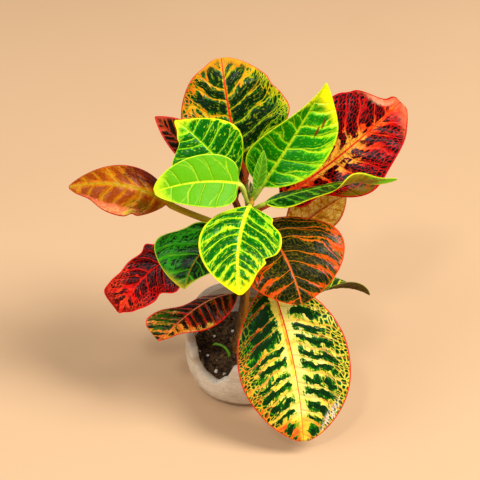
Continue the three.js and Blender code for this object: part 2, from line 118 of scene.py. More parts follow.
# Soil, stem and seedling, as in the frame's source; the seedling's foot in the soil is left out
SOIL_MIDDLE = 44.5
SOIL_SLOPE = 0.17
SOIL_LUMP = 1.3
SOIL_BELOW_RIM = 2.6
SEAT = 0.3
PERLITE = [
    (-27, -37, 2.2), (-19, -40, 2.0), (-11, 22, 1.8), (14, -34, 1.7), (24, 12, 1.9), (-30, 12, 1.7),
    (-36, -14, 1.6), (6, 34, 2.0), (33, -12, 1.8), (-4, -36, 1.5),
]
STEM = [
    (-8, -8, 24, 4.2), (-8, -8, 44, 4.4), (-5.5, -7.2, 66, 4.4), (1, -6, 100, 4.9),
    (4, -4, 150, 4.8), (5, -3, 190, 4.5), (6, -2, 214, 4.0), (6.5, -1.5, 226, 2.6),
]
SPROUT = [
    (-14, -14, 40, 1.5), (-14.5, -14, 46, 1.4), (-18, -13, 51.5, 1.3), (-23, -11.5, 54.5, 1.2),
    (-28, -10, 54.5, 0.9), (-31, -9, 53, 0.5),
]

# Details that aren't the frame's: how far the rim rounds off, how far the soil and its crumbs are
# lifted, and the height and angle of each old scar on the stem
POT_RIM_ROUND = 3.2
SOIL_LIFT = 0.3
CRUMB_LIFT = 0.35
OLD_SCARS = [(72, 0.4), (86, 2.6), (94, 4.4), (113, 1.2)]

# Stalks and blades; these blades are thinner than the frame's, with raised ribs
STALK_RADIUS = 2.1
STALK_START = 3.2
RIB_RADIUS = 1.5
RIB_SPREAD = 1.3
VEIN_SPREAD = 0.7
VEIN_THICK = 0.4
BLADE_THICK = 0.62
BLADE_THINNER = 0.22
TIP_HALF_WIDTH = 0.35
TWIST_MIDDLE = 0.4
ARC_STEPS = 24

# Leaf shapes, as in the frame's source
LEAVES = {
    "leaf_top": dict(
        stalk=204, base=(0, 17, 246), tip=(-21, 66, 337), faces=(0, -0.8, 0.6), bow=(-4, 10),
        sway=(-5, -3), width=101, p=0.5, q=(0.62, 0.6), fold=6, cup=-12, lop=0.07,
        nicks=[(0.7, 1, 0.06, 0.06), (0.45, 1, -0.07, 0.12), (0.93, -1, 0.12, 0.05)],
        wave=(3, 2.5, 0.1),
    ),
    "leaf_upper_left": dict(
        stalk=217, base=(-5, 2, 238), tip=(-64, 11, 297), faces=(0, -0.8, 0.6), bow=(6, 6),
        sway=(0, 4), width=74, p=(0.8, 1.1), q=(0.9, 1.35), fold=6, lop=-0.1,
        nicks=[(0.8, -1, 0.34, 0.05), (0.92, -1, 0.5, 0.1), (0.66, -1, -0.08, 0.06)],
        wave=(1.5, 2, 0),
    ),
    "leaf_upper_right": dict(
        stalk=216, base=(18, 0, 233), tip=(77, 20, 331), faces=(0.3, -0.9, 0.3), bow=(4, 4),
        width=74, p=(0.6, 0.8), q=(1.2, 0.85), fold=26, twist=-65, nicks=[(0.74, 1, -0.1, 0.14)],
    ),
    "leaf_right_narrow": dict(
        stalk=207, base=(21, -10, 221), tip=(143, -26, 255), faces=(-0.2, 0.2, 1), bow=(6, 9),
        width=46, p=0.6, q=0.6, fold=-10, twist=50, nicks=[(0.68, 1, -0.15, 0.08)],
        curls=[(0.73, 1, 130, 0.12)], wave=(2, 1.6, 0.3),
    ),
    "leaf_lime": dict(
        stalk=215, base=(-5, -17, 245), tip=(-82, -42, 249), faces=(0, -0.8, 0.6), bow=(5, 5),
        sway=(6, 6), width=51, p=0.3, q=0.62, fold=8,
    ),
    "leaf_front": dict(
        stalk=199, base=(6, -17, 221), tip=(-3, -85, 164), faces=(0, -0.75, 0.7), bow=(8, 12),
        sway=(8, 8), width=77, p=(0.6, 1), q=(0.8, 1.05), fold=6, lop=-0.03,
        nicks=[
            (0.07, -1, -0.2, 0.04), (0.17, -1, 0.1, 0.05), (0.63, -1, 0.2, 0.035),
            (0.8, -1, 0.3, 0.17),
        ],
    ),
    "leaf_left_green": dict(
        stalk=182, base=(-9, -8, 194), tip=(-56, -52, 149), faces=(-0.4, -0.55, 0.7), bow=(8, 12),
        sway=(6, 10), width=80, p=(0.6, 1.4), q=(1.1, 0.95), fold=14, lop=0.02,
        nicks=[(0.42, 1, 0.16, 0.13), (0.68, 1, -0.12, 0.12), (0.25, -1, 0.2, 0.15)],
        wave=(1.5, 2, 0.4),
    ),
    "leaf_left_orange": dict(
        stalk=176, base=(-72, 4, 213), tip=(-166, -6, 235), faces=(0, -0.7, 0.8), bow=(20, 24),
        sway=(6, 6), width=54, p=(0.7, 0.5), q=0.8, fold=-8, cup=-20, lop=-0.1,
        nicks=[(0.33, -1, 0.1, 0.05), (0.85, -1, 0.2, 0.1)], stalk_radius=3.4,
    ),
    "leaf_left_red": dict(
        stalk=168, base=(-35, -4, 173), tip=(-122, -36, 110), faces=(0, -0.7, 0.8), bow=(10, 20),
        sway=(14, 14), width=54, p=(0.5, 0.8), q=(0.5, 0.25), fold=-5,
        nicks=[
            (0.6, 1, 0.1, 0.25), (0.72, 1, 0.15, 0.08), (0.94, 1, -0.12, 0.06), (1, 1, 0.85, 0.04),
            (0.44, 1, -0.3, 0.045), (0.45, -1, -0.2, 0.1), (0.61, -1, 0.14, 0.06),
            (0.9, -1, 0.14, 0.07), (1, -1, 0.8, 0.05),
        ],
        wave=(2.5, 2.5, 0.2),
    ),
    "leaf_low_left": dict(
        stalk=112, base=(-6, -14, 121), tip=(-83, -62, 96), faces=(-0.5, -0.6, 0.62), bow=(8, 9),
        sway=(14, 0), width=56, p=0.5, q=(0.85, 0.2), fold=-26, twist=90, lop=0.1,
        nicks=[(0.5, 1, 0.55, 0.25), (0.85, 1, 0.12, 0.15), (0.8, -1, 0.25, 0.15)],
    ),
    "leaf_big_front": dict(
        stalk=142, base=(26, -30, 146), tip=(58, -118, 17), faces=(0, -0.83, 0.56), bow=(10, 14),
        sway=(-8, -8), width=108, p=0.75, q=0.7, fold=6, wave=(1.5, 3, 0.1),
    ),
    "leaf_mid_orange": dict(
        stalk=190, base=(16, -18, 204), tip=(54, -86, 155), faces=(0.1, -0.75, 0.7), bow=(10, 14),
        sway=(-6, -6), width=104, p=(0.75, 0.45), q=(0.75, 0.6), fold=-3, cup=-10, lop=-0.12,
        nicks=[(0.5, -1, -0.04, 0.15)], wave=(1.5, 2.5, 0.3),
    ),
    "leaf_right_red": dict(
        stalk=198, base=(39, 24, 207), tip=(153, 56, 296), faces=(0, -0.8, 0.6), bow=(6, 6),
        sway=(5, 5), width=82, p=0.5, q=0.5, fold=6,
        nicks=[
            (0.2, 1, 0.4, 0.12), (0.5, 1, -0.16, 0.14), (0.6, -1, -0.34, 0.13),
            (0.84, -1, -0.2, 0.05), (0.75, -1, -0.17, 0.06), (0.94, -1, 0.4, 0.05),
            (0.93, 1, 0.08, 0.05),
        ],
        wave=(2, 2, 0.3),
    ),
    "leaf_right_olive": dict(
        stalk=160, base=(45, 16, 170), tip=(102, 34, 205), faces=(0, 1, 0), bow=(6, 6), width=56,
        p=0.6, q=(0.75, 0.6), fold=6, wave=(2, 2, 0.2),
    ),
    "leaf_small_right": dict(
        stalk=104, base=(57, -4, 107), tip=(129, 6, 104), faces=(0.1, 0.25, 0.95), bow=(12, 18),
        width=36, p=0.6, q=0.8, fold=22, twist=60,
    ),
    "leaf_back_left": dict(
        stalk=191, base=(-26, 13, 238), tip=(-84, 27, 293), faces=(-0.3, -1, 0.26), bow=(4, 4),
        width=40, p=0.7, q=0.9, fold=12, lop=0.4,
    ),
    "leaf_back": dict(
        stalk=186, base=(-8, 30, 204), tip=(-34, 96, 232), faces=(-0.3, -0.3, 0.9), bow=(10, 14),
        width=58, p=0.6, q=0.7, fold=6, cup=-10, wave=(2, 2, 0.5),
    ),
    "leaf_young": dict(
        stalk=222, base=(12, -10, 235), tip=(19, -8, 275), faces=(0.2, -0.86, 0.52), bow=(2, 2),
        width=14, p=0.7, q=0.9, fold=30, stalk_radius=1.4,
    ),
}

# What a leaf looks like where LOOKS doesn't say otherwise. Lengths are in millimetres. LOOKS also
# gives every leaf the spacing of its side veins; ground, its colours by warmth; dark, the colours
# of its dark fields; and the half width and colour of its midrib, and width and colour of margin.
PLAIN_LOOK = dict(
    slot="leaf_green",
    slant=(0.5, 0.5), bend=0.05,                    # how side veins lean and curve to the tip
    vein=0.3, vein_grow=0.0,                        # share of the gap that the vein's band takes
    rib_clear=2.5, feather=0.5, teeth=0.4, soft=0.07,   # bare strip at the midrib, ragged edges
    mosaic=(0.3, 0.8), scatter=0.5,                 # share of the cells at the rib and the margin
    cell_size=4.5, cells=(0.6, 0.95), cell_line=0.07, cell_fill=0.35,
    lane=0.8,                                       # below 1, cells are longer towards the margin
    edge_clear=1.0,                                 # bare strip at the margin
    warm=(0.2, 0.0, 0.0, 0.0, 0.3),                 # start, along, across, by reach, by noise
    line=(0.5, 0.8, ["F4EE2A", "F4EE2A"]),          # half width, strength, colours by warmth
    fork=(0.4, 0.7),                                # where a side vein forks, strength
    net=None, specks=None,                          # strength and colour, where there are any
    tip=None,                                       # start along the leaf and colour, likewise
    patches=[],                                     # s, v, long, wide, kind, value
    under=["7A8A2A", "5A7A20"], under_vein="C8C83C", under_net=0.2, under_tip=0,
    stalk=["6A8A20", "C8D848"],
    quilt=0.7, rough=0.22,                          # swell between the side veins, roughness
)
LOOKS = {
    "leaf_top": dict(
        slot="leaf_dark", spacing=15, slant=(0.5, 0.6), bend=0.0, vein=0.04, vein_grow=0.1,
        rib_clear=1.2, feather=0.9, teeth=0.8, mosaic=(0.3, 0.9), scatter=0.9, cells=(0.45, 0.95),
        cell_size=3.0, cell_line=0.08, cell_fill=0.3, edge_clear=1.3,
        warm=(0.33, 0.36, -0.28, 0.1, 0.7), ground=["6EAA0A", "C8C80F", "F0A50A", "EB6405"],
        dark=["032303", "0C4A07", "3C960F"], line=(0.4, 0.95, ["B4CD14", "F0B40F", "F5820A"]),
        fork=(0.25, 0.95), specks=(0.55, "96A80F"), rib=(1.7, "EB3C14"), margin=(0.9, "E6321E"),
        tip=(0.97, "F0A01E"), under=["7A6A20", "8A4A1A"], under_vein="C87828",
        stalk=["8A5A1E", "C85A1E"],
        patches=[
            (0.6, -0.85, 0.4, 0.25, "field", -0.25), (0.93, 0.3, 0.1, 0.7, "field", -0.25),
            (0.62, 0.98, 0.3, 0.2, "field", -0.25), (0.25, 0.5, 0.3, 0.8, "warm", -0.35),
        ],
    ),
    "leaf_upper_left": dict(
        spacing=9.5, slant=(0.5, 0.1), bend=0.03, vein=0.0, vein_grow=0.02, rib_clear=0.5,
        feather=0.9, teeth=0.7, mosaic=(0.1, 0.3), scatter=0.4, cells=(0.9, 1.3), cell_size=3,
        edge_clear=1.2, warm=(0.0, 0.5, 0.2, 0.1, 0.4), ground=["28A00A", "82D20F", "E6FA0F"],
        dark=["056402", "0F9605", "46C30A"], line=(0.34, 0.85, ["A0E61E", "E6FA23"]),
        fork=(0.4, 0.8), specks=(0.75, "A5E61E"), rib=(1.0, "C8F01E"), margin=(0.7, "F0FA14"),
        tip=(0.93, "F0FA28"),
        patches=[
            (0.92, 0.3, 0.12, 1.2, "field", -0.4), (0.65, 0.98, 0.3, 0.1, "field", -0.6),
            (0.65, 0.98, 0.3, 0.1, "warm", 0.6),
        ],
    ),
    "leaf_upper_right": dict(
        spacing=12.5, slant=(0.15, 0.4), bend=0.03, vein=-0.06, vein_grow=0.06, rib_clear=0.8,
        feather=1.0, teeth=0.9, mosaic=(0.1, 0.4), scatter=0.7, cells=(0.8, 1.2), cell_size=5,
        edge_clear=1.8, soft=0.22, warm=(0.0, 0.5, 0.3, 0.1, 0.45),
        ground=["5AB905", "AAE10A", "E6F50A"], dark=["128203", "32AF07", "78D70F"],
        line=(0.48, 0.95, ["A0E61E", "E6F523"]), fork=(0.15, 1.0), specks=(0.55, "8CDC1E"),
        rib=(1.8, "BEE61E"), margin=(0.9, "D2F01E"), tip=(0.84, "F5F50A"),
        patches=[
            (0.5, 0.98, 0.6, 0.25, "field", -0.4), (0.75, 0.5, 0.2, 0.5, "field", -0.2),
            (0.62, 0.44, 0.05, 0.04, "colour", "782305"),
            (0.70, 0.52, 0.05, 0.04, "colour", "782305"),
        ],
    ),
    "leaf_right_narrow": dict(
        spacing=11, slant=(0.9, 0.9), vein=0.08, rib_clear=0.8, feather=0.8, cells=(0.8, 1.2),
        edge_clear=1.5, dark=["053C05", "0F6905", "379614"], ground=["5AA014", "AAD21E"],
        line=(0.35, 0.6, ["6EB41E", "BEDC1E"]), specks=(0.5, "6EB41E"), tip=(0.9, "78F505"),
        rib=(1.0, "A0D21E"), margin=(1.3, "E6F01E"), under=["6E5A04", "87730A", "A58C0A"],
        under_vein="B4A014", under_tip=0.9, patches=[(0.82, 0.0, 0.12, 1.6, "colour", "555A05")],
    ),
    "leaf_lime": dict(
        spacing=15, slant=(0.35, 0.35), vein=-1.0, rib_clear=-3, feather=0.3, mosaic=(0.1, 0.2),
        cells=(1.1, 1.4), edge_clear=0.3, soft=0.4, warm=(0.15, 0.5, -0.3, 0.1, 0.3),
        ground=["78C300", "9BDC05", "CDF01E"], dark=["64B900", "7DCD00", "A0DC05"],
        line=(0.45, 0.55, ["C3EB28", "D7F546"]), fork=(0.3, 0.8), rib=(1.3, "D7F528"),
        specks=(0.12, "96DC14"), margin=(0.7, "D7F532"), tip=(0.9, "C8F01E"),
        stalk=["A0BE32", "E1EB6E"], quilt=0.4, rough=0.4,
        patches=[(0.35, 0.55, 0.5, 0.5, "warm", -0.4), (0.4, -0.4, 0.4, 0.3, "warm", -0.15)],
    ),
    "leaf_front": dict(
        spacing=9.0, slant=(0.6, 0.55), vein=0.06, vein_grow=0.1, rib_clear=2.0, feather=1.1,
        teeth=1.1, mosaic=(0.2, 0.5), scatter=0.7, cells=(0.75, 1.1), cell_size=3.0,
        edge_clear=2.0, warm=(0.2, 0.5, 0.0, 0.1, 0.45), ground=["78CD0F", "BEF01E", "FAFA0F"],
        dark=["046402", "0F8C05", "46B90F"], line=(0.38, 0.85, ["BEF01E", "F5FA1E"]),
        fork=(0.4, 0.8), specks=(0.5, "BEF01E"), rib=(1.9, "F0F528"), margin=(0.9, "FAFA14"),
        tip=(0.92, "FFFA0A"),
        patches=[
            (0.8, -0.65, 0.22, 0.4, "field", -0.25), (0.88, 0.5, 0.2, 0.6, "field", -0.25),
            (0.15, -0.9, 0.14, 0.25, "field", -0.5), (0.1, 0.9, 0.16, 0.25, "field", -0.4),
        ],
    ),
    "leaf_left_green": dict(
        slot="leaf_dark", spacing=13, slant=(0.4, 0.4), vein=-0.1, rib_clear=0.2, feather=0.8,
        teeth=0.6, mosaic=(0.1, 0.4), cells=(0.9, 1.2), cell_size=3, edge_clear=0.8, soft=0.3,
        warm=(0.2, 0.4, 0.0, 0.2, 0.3), ground=["197305", "32960A", "78C31E"],
        dark=["021C02", "064604", "1E9108"], line=(0.3, 0.65, ["3C9614", "96D228"]),
        specks=(0.6, "3C9B14"), rib=(0.9, "B4781E"), margin=(0.8, "C8E628"), tip=(0.97, "DCC81E"),
        patches=[
            (0.62, 0.7, 0.35, 0.5, "field", -0.25), (0.62, 0.65, 0.34, 0.45, "mottled", "2DAA0A"),
            (0.9, 0.0, 0.1, 0.8, "field", -0.2),
        ],
    ),
    "leaf_left_orange": dict(
        slot="leaf_orange", spacing=15, slant=(0.45, 0.7), vein=0.1, feather=0.9, teeth=0.8,
        mosaic=(0.3, 0.7), cell_size=3.0, cells=(0.7, 1.1), edge_clear=0.8, soft=0.5,
        warm=(0.3, 0.1, 0.1, 0.0, 1.0), ground=["A07800", "C88200", "E66E00"],
        dark=["913700", "B45500", "D27300"], line=(0.36, 0.7, ["B4910A", "DCAA19"]),
        fork=(0.25, 0.9), net=(0.25, "BE7305"), specks=(0.4, "D27805"), rib=(2.0, "BE960A"),
        margin=(1.0, "C3140A"), under=["96501E", "82321A"], under_vein="C88C28", rough=0.28,
        stalk=["78690A", "B49114"],
        patches=[
            # Painted shadow: maroon and near-black patches near the base, where the lime leaf's
            # shadow falls
            (0.24, 0.75, 0.24, 0.5, "colour", "781900"),
            (0.24, 0.75, 0.3, 0.6, "mottled", "320500"),
            (0.58, -0.9, 0.34, 0.24, "colour", "FF825A"),
            (0.5, -0.95, 0.3, 0.2, "mottled", "FFB46E"),
            (0.37, -0.9, 0.06, 0.15, "colour", "F5D246"),
            (0.27, -0.7, 0.13, 0.35, "mottled", "5F550A"),
        ],
    ),
    "leaf_left_red": dict(
        slot="leaf_red", spacing=11, slant=(0.6, 0.6), vein=0.02, rib_clear=1.0, feather=1.0,
        teeth=0.6, mosaic=(0.7, 1.0), scatter=1.0, cells=(0.15, 0.7), cell_size=3.2,
        cell_line=0.09, cell_fill=0.25, edge_clear=1.2, lane=1.1, warm=(0.0, 0.95, 0.1, 0.15, 0.5),
        ground=["6E0103", "D20304", "FA0A05", "FF5028"], dark=["050101", "140202", "5A0405"],
        line=(0.45, 0.8, ["8C0407", "F51405"]), fork=(0.4, 0.8), net=(0.45, "D20505"),
        rib=(1.0, "E6140A"), margin=(1.1, "F51E14"), tip=(0.97, "960A0A"),
        under=["781410", "5A0F0F"], under_vein="B4321E", stalk=["6E3214", "961E14"],
        patches=[
            (0.86, 0.1, 0.16, 1.0, "field", -0.3), (0.97, -0.2, 0.1, 0.8, "warm", 0.5),
            (0.38, 0.6, 0.28, 0.8, "field", 0.28), (0.4, -0.5, 0.2, 0.8, "field", 0.2),
        ],
    ),
    "leaf_low_left": dict(
        slot="leaf_red", spacing=8.5, slant=(0.1, 0.7), bend=0.02, vein=0.24, rib_clear=0.8,
        feather=1.1, teeth=0.9, mosaic=(0.3, 0.7), scatter=1.0, cells=(0.55, 1.0), cell_size=2.8,
        warm=(-0.02, 0.72, -0.05, 0.15, 0.42), ground=["78370A", "BE0A05", "D2140A", "FAA532"],
        dark=["0C0703", "1E1905", "465A0A"], line=(0.38, 0.9, ["A0500F", "D20A0A", "F5642D"]),
        fork=(0.35, 0.9), net=(0.15, "B4321E"), rib=(1.2, "F58C5A"), margin=(1.1, "F01E0A"),
        under=["6E1410", "501010"], under_vein="A0321E", stalk=["5A3214", "963214"],
        patches=[
            (0.8, -0.6, 0.16, 0.6, "warm", 0.8), (0.8, -0.6, 0.16, 0.6, "field", -0.35),
            (0.62, -0.92, 0.24, 0.25, "warm", 0.7), (0.62, -0.95, 0.24, 0.2, "field", -0.35),
            # Painted highlight: a cream mottle near the lower margin
            (0.7, -0.95, 0.1, 0.12, "mottled", "FFE6AA"),
            (0.45, -0.9, 0.05, 0.14, "mottled", "E6D25A"), (0.82, 0.6, 0.2, 0.6, "warm", 0.7),
            (0.8, 0.55, 0.2, 0.5, "mottled", "2D690A"),
        ],
    ),
    "leaf_big_front": dict(
        slot="leaf_yellow", spacing=12.5, slant=(0.3, 0.35), bend=0.03, vein=0.38, vein_grow=-0.3,
        rib_clear=8.0, feather=1.1, teeth=1.0, mosaic=(0.5, 1.0), scatter=1.1, cells=(0.5, 0.85),
        cell_size=3.4, cell_line=0.1, cell_fill=0.3, edge_clear=0.7,
        warm=(0.05, 0.05, 0.18, 0.62, 0.6), ground=["FFF58C", "FFEB50", "F5C832", "F0641E"],
        dark=["06300A", "0A640A", "55B919"], line=(0.42, 0.75, ["FFE66E", "FF9B3C", "F0460F"]),
        fork=(0.35, 0.8), rib=(0.7, "E63219"), margin=(1.1, "F0281E"), under=["A08C3C", "8C6428"],
        under_vein="D2B450", stalk=["8A4A1E", "C86428"],
        patches=[
            (0.16, 0.75, 0.32, 0.45, "field", 0.35), (0.16, 0.75, 0.32, 0.5, "warm", 0.5),
            (0.95, 0.0, 0.1, 1.0, "warm", 0.5), (0.86, 0.0, 0.14, 0.6, "field", -0.12),
            (0.6, 0.0, 0.12, 0.5, "field", -0.15), (0.3, 0.03, 0.3, 0.04, "warm", 0.6),
            # Painted reflection: a pale pinkish-white mottle towards the tip stands for glints
            (0.85, -0.8, 0.09, 0.16, "mottled", "FFEBDC"),
        ],
    ),
    "leaf_mid_orange": dict(
        slot="leaf_orange", spacing=13, slant=(0.45, 0.2), bend=0.02, vein=-0.22, vein_grow=0.14,
        rib_clear=0.2, feather=1.1, teeth=1.0, mosaic=(0.2, 0.7), scatter=0.9, cells=(0.75, 1.1),
        cell_size=2.8, warm=(-0.05, 0.5, -0.05, 0.6, 0.5), ground=["8C7800", "D27300", "F04B00"],
        dark=["061902", "193203", "6E5F05"], line=(0.34, 0.95, ["B9820F", "EB6E0F", "FA5014"]),
        fork=(0.12, 1.0), net=(0.28, "87690A"), specks=(0.6, "78690A"), rib=(1.3, "F5642D"),
        margin=(1.2, "FA4B0F"), under=["8C6E1E", "965A1E"], under_vein="C8641E",
        stalk=["785014", "C86428"],
        patches=[
            (0.68, 0.75, 0.38, 0.55, "field", -0.45), (0.68, 0.75, 0.38, 0.5, "warm", 0.4),
            (0.8, -0.75, 0.3, 0.5, "field", -0.4), (0.8, -0.75, 0.3, 0.5, "warm", 0.4),
            (0.4, -0.98, 0.3, 0.14, "field", -0.35), (0.4, -0.98, 0.3, 0.14, "warm", 0.4),
            (0.25, 0.0, 0.14, 1.2, "field", 0.25),
        ],
    ),
    "leaf_right_red": dict(
        slot="leaf_red", spacing=16, slant=(0.55, 0.45), bend=0.02, vein=0.14, vein_grow=-0.05,
        rib_clear=3.5, feather=1.1, teeth=0.8, mosaic=(0.7, 1.0), scatter=1.1, cells=(0.35, 0.75),
        cell_size=4.0, cell_line=0.09, cell_fill=0.4, edge_clear=1.3, lane=1.2,
        warm=(0.75, 0.0, 0.0, -1.25, 0.6), ground=["A00204", "DC0805", "FA5514", "FFBE3C"],
        dark=["060202", "160203", "780406"], line=(0.7, 0.85, ["DC0608", "F55019", "FFAA32"]),
        fork=(0.3, 0.95), net=(0.55, "E60505"), rib=(1.3, "E6370F"), margin=(1.5, "C8060A"),
        tip=(0.96, "FF7346"), under=["8C6414", "785014"], under_vein="C8A03C",
        stalk=["8A3C14", "E65A1E"],
        patches=[
            (0.96, 0.0, 0.08, 0.8, "field", -0.4), (0.93, -0.75, 0.07, 0.4, "colour", "FFB48C"),
            (0.45, 0.0, 0.22, 0.5, "warm", 0.5), (0.45, 0.0, 0.2, 0.4, "field", -0.2),
            (0.6, -0.75, 0.3, 0.3, "field", 0.15), (0.8, 0.4, 0.2, 0.4, "field", -0.15),
            (0.42, 0.95, 0.1, 0.2, "colour", "786405"),
        ],
    ),
    "leaf_right_olive": dict(
        slot="leaf_orange", spacing=11, ground=["C8A01E", "F08C1E"], dark=["28320A", "5A3C0F"],
        rib=(1.3, "C8321E"), margin=(1.9, "D2141E"),
        # A golden underside, brightened as painted light that stands for light shining through the
        # leaf
        under=["966E0A", "DCA50A", "FFE178", "C3820A"], under_vein="C81E14", under_net=0.45,
        stalk=["785014", "A0501E"],
    ),
    "leaf_small_right": dict(
        slot="leaf_dark", spacing=8, vein=0.1, dark=["0F460A", "1E6E14"],
        ground=["5A961E", "8CBE1E"], rib=(1.0, "A0C81E"), margin=(0.6, "96A01E"),
        under=["463C0F", "5A4B0F"], under_vein="786414", stalk=["6E5A14", "789614"],
    ),
    "leaf_back_left": dict(
        slot="leaf_red", spacing=9, slant=(1.2, 1.2), rib_clear=0.8, feather=1.1,
        mosaic=(0.2, 0.4), cells=(0.8, 1.2), cell_size=3, warm=(0.1, 0.7, 0.3, 0.0, 0.3),
        ground=["8C1E14", "C8321E", "E6641E"], dark=["100A05", "28190A", "284B0F"],
        line=(0.5, 0.9, ["B4281E", "E15A28"]), rib=(1.0, "C83C2D"), margin=(1.5, "E63C32"),
        tip=(0.95, "EB5A46"), under=["78321E", "5A1E14"], under_vein="B4463C",
        stalk=["5A3C14", "8C321E"],
    ),
    "leaf_back": dict(
        slot="leaf_orange", spacing=13, vein=0.18, rib_clear=2, feather=0.7, cells=(0.6, 1.0),
        warm=(0.3, 0.2, 0.1, 0.4, 0.5), ground=["D2A01E", "E6641E", "C81E14"],
        dark=["0C1205", "192808", "3C460F"], line=(0.5, 0.9, ["E6A01E", "E6501E"]),
        net=(0.2, "E6641E"), rib=(1.5, "E6501E"), margin=(1.0, "D2321E"),
        under=["8C641E", "78461A"], under_vein="C8781E", stalk=["785014", "A0501E"],
    ),
    "leaf_young": dict(
        spacing=4, slant=(1.2, 1.2), vein=0.2, rib_clear=0.4, cell_size=2, soft=0.4,
        cells=(1.1, 1.4), edge_clear=0.2, ground=["6EBE1E", "8CD228"], dark=["50A014", "6EBE1E"],
        line=(0.25, 0.5, ["78C828", "8CD732"]), rib=(0.5, "96DC32"), margin=(0.3, "A0DC3C"),
        quilt=0.15, under=["64A01E", "78B428"], under_vein="96C83C", stalk=["78AA28", "8CC832"],
    ),
}


def rgb(code):
    """The linear colour of an sRGB hex code."""
    parts = [int(code[k:k + 2], 16) / 255 for k in (0, 2, 4)]
    return [p / 12.92 if p < 0.04045 else ((p + 0.055) / 1.055) ** 2.4 for p in parts] + [1.0]


# Node graphs
class Wire:
    """A node's output, which arithmetic can be written with."""

    def __init__(self, graph, socket):
        self.graph = graph
        self.socket = socket

    def __add__(self, other):
        return self.graph.math("ADD", self, other)

    def __sub__(self, other):
        return self.graph.math("SUBTRACT", self, other)

    def __rsub__(self, other):
        return self.graph.math("SUBTRACT", other, self)

    def __mul__(self, other):
        return self.graph.math("MULTIPLY", self, other)

    def __truediv__(self, other):
        return self.graph.math("DIVIDE", self, other)

    __radd__ = __add__
    __rmul__ = __mul__


class Graph:
    """A material's nodes."""

    def __init__(self, name):
        self.material = bpy.data.materials.new(name)
        self.material.use_nodes = True
        self.nodes = self.material.node_tree.nodes
        self.links = self.material.node_tree.links
        self.shader = self.nodes["Principled BSDF"]

    def put(self, socket, value):
        """Links a wire to an input, or sets a plain value there."""
        if isinstance(value, Wire):
            self.links.new(value.socket, socket)
        else:
            socket.default_value = value

    def node(self, kind, inputs, **settings):
        """A new node, with inputs set by their number or name."""
        node = self.nodes.new("ShaderNode" + kind)
        for key, value in settings.items():
            setattr(node, key, value)
        for key, value in inputs.items():
            self.put(node.inputs[key], value)
        return node

    def wire(self, kind, inputs, out=0, **settings):
        """One output of a new node."""
        return Wire(self, self.node(kind, inputs, **settings).outputs[out])

    def math(self, operation, *values):
        return self.wire("Math", dict(enumerate(values)), operation=operation)

    def smooth(self, value, low, high):
        """A soft step from 0 at low to 1 at high."""
        inputs = {0: value, 1: low, 2: high}
        return self.wire("MapRange", inputs, interpolation_type="SMOOTHSTEP")

    def fade(self, value, low, high):
        """A soft step from 1 at low to 0 at high."""
        return 1 - self.smooth(value, low, high)

    def blend(self, factor, a, b):
        return self.wire("Mix", {0: factor, 2: a, 3: b}, data_type="FLOAT")

    def colours(self, factor, a, b, kind="MIX"):
        a, b = (rgb(item) if isinstance(item, str) else item for item in (a, b))
        return self.wire("Mix", {0: factor, 6: a, 7: b}, 2, data_type="RGBA", blend_type=kind)

    def shaded(self, colour, shade):
        """The colour times a shade of grey."""
        return self.colours(1.0, colour, self.vector(shade, shade, shade), "MULTIPLY")

    def ramp(self, factor, codes):
        node = self.node("ValToRGB", {0: factor})
        elements = node.color_ramp.elements
        while len(elements) < len(codes):
            elements.new(0.5)
        for k, code in enumerate(codes):
            elements[k].position = k / (len(codes) - 1)
            elements[k].color = rgb(code)
        return Wire(self, node.outputs[0])

    def noise(self, vector, scale, detail=2.0, roughness=0.5):
        inputs = {"Vector": vector, "Scale": scale, "Detail": detail, "Roughness": roughness}
        return self.wire("TexNoise", inputs)

    def cells(self, vector, scale, feature="F1"):
        inputs = {"Vector": vector, "Scale": scale}
        return self.wire("TexVoronoi", inputs, "Distance", feature=feature)

    def mosaic(self, vector, scale):
        """A flat pattern of cells: the centre, a random value and how far the cell's edge is."""
        inputs = {"Vector": vector, "Scale": scale}
        near = self.node("TexVoronoi", inputs, voronoi_dimensions="2D")
        crack = self.wire("TexVoronoi", inputs, "Distance", voronoi_dimensions="2D",
                          feature="DISTANCE_TO_EDGE")
        centre = self.split(Wire(self, near.outputs["Position"]))
        tone = self.split(Wire(self, near.outputs["Color"]))[0]
        return centre, tone, crack

    def split(self, wire):
        return [Wire(self, out) for out in self.node("SeparateXYZ", {0: wire}).outputs]

    def vector(self, x, y, z):
        return self.wire("CombineXYZ", {0: x, 1: y, 2: z})

    def parts(self, name):
        """The three numbers of a mesh attribute."""
        return self.split(self.wire("Attribute", {}, "Vector", attribute_name=name))

    def place(self):
        """Object coordinates, in metres."""
        return self.wire("TexCoord", {}, "Object")

    def bump(self, height, depth, strength=0.9):
        inputs = {"Height": height, "Distance": depth, "Strength": strength}
        self.put(self.shader.inputs["Normal"], self.wire("Bump", inputs))

    def surface(self, colour, rough, **constants):
        """The finished material. Constants go to the inputs of those names, with _ for a space."""
        self.put(self.shader.inputs["Base Color"], colour)
        self.put(self.shader.inputs["Roughness"], rough)
        for key, value in constants.items():
            self.shader.inputs[key.replace("_", " ")].default_value = value
        return self.material


# Meshes
def add_object(name, data):
    item = bpy.data.objects.new(name, data)
    bpy.context.scene.collection.objects.link(item)
    return item


def piece_from(name, points, faces, material, node, slot, attributes=None):
    """A smooth mesh of points in millimetres, which rides on the frame and stands for a node.

    A fine edge that bulges past the frame's box is pressed flat against that box. An attribute
    has three numbers for each point, or one, which is then used three times."""
    mesh = bpy.data.meshes.new(name)
    points = np.clip(np.asarray(points) * MM, CAD_BOX[0], CAD_BOX[1])
    mesh.from_pydata(points.tolist(), [], faces)
    for key, values in (attributes or {}).items():
        if values.ndim == 1:
            values = np.stack([values] * 3, axis=-1)
        layer = mesh.attributes.new(key, "FLOAT_VECTOR", "POINT")
        layer.data.foreach_set("vector", values.astype(np.float32).ravel())
    mesh.shade_smooth()
    mesh.materials.append(material)
    piece = add_object(name, mesh)
    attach(piece, "root")
    if node:
        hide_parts(node)
    return piece


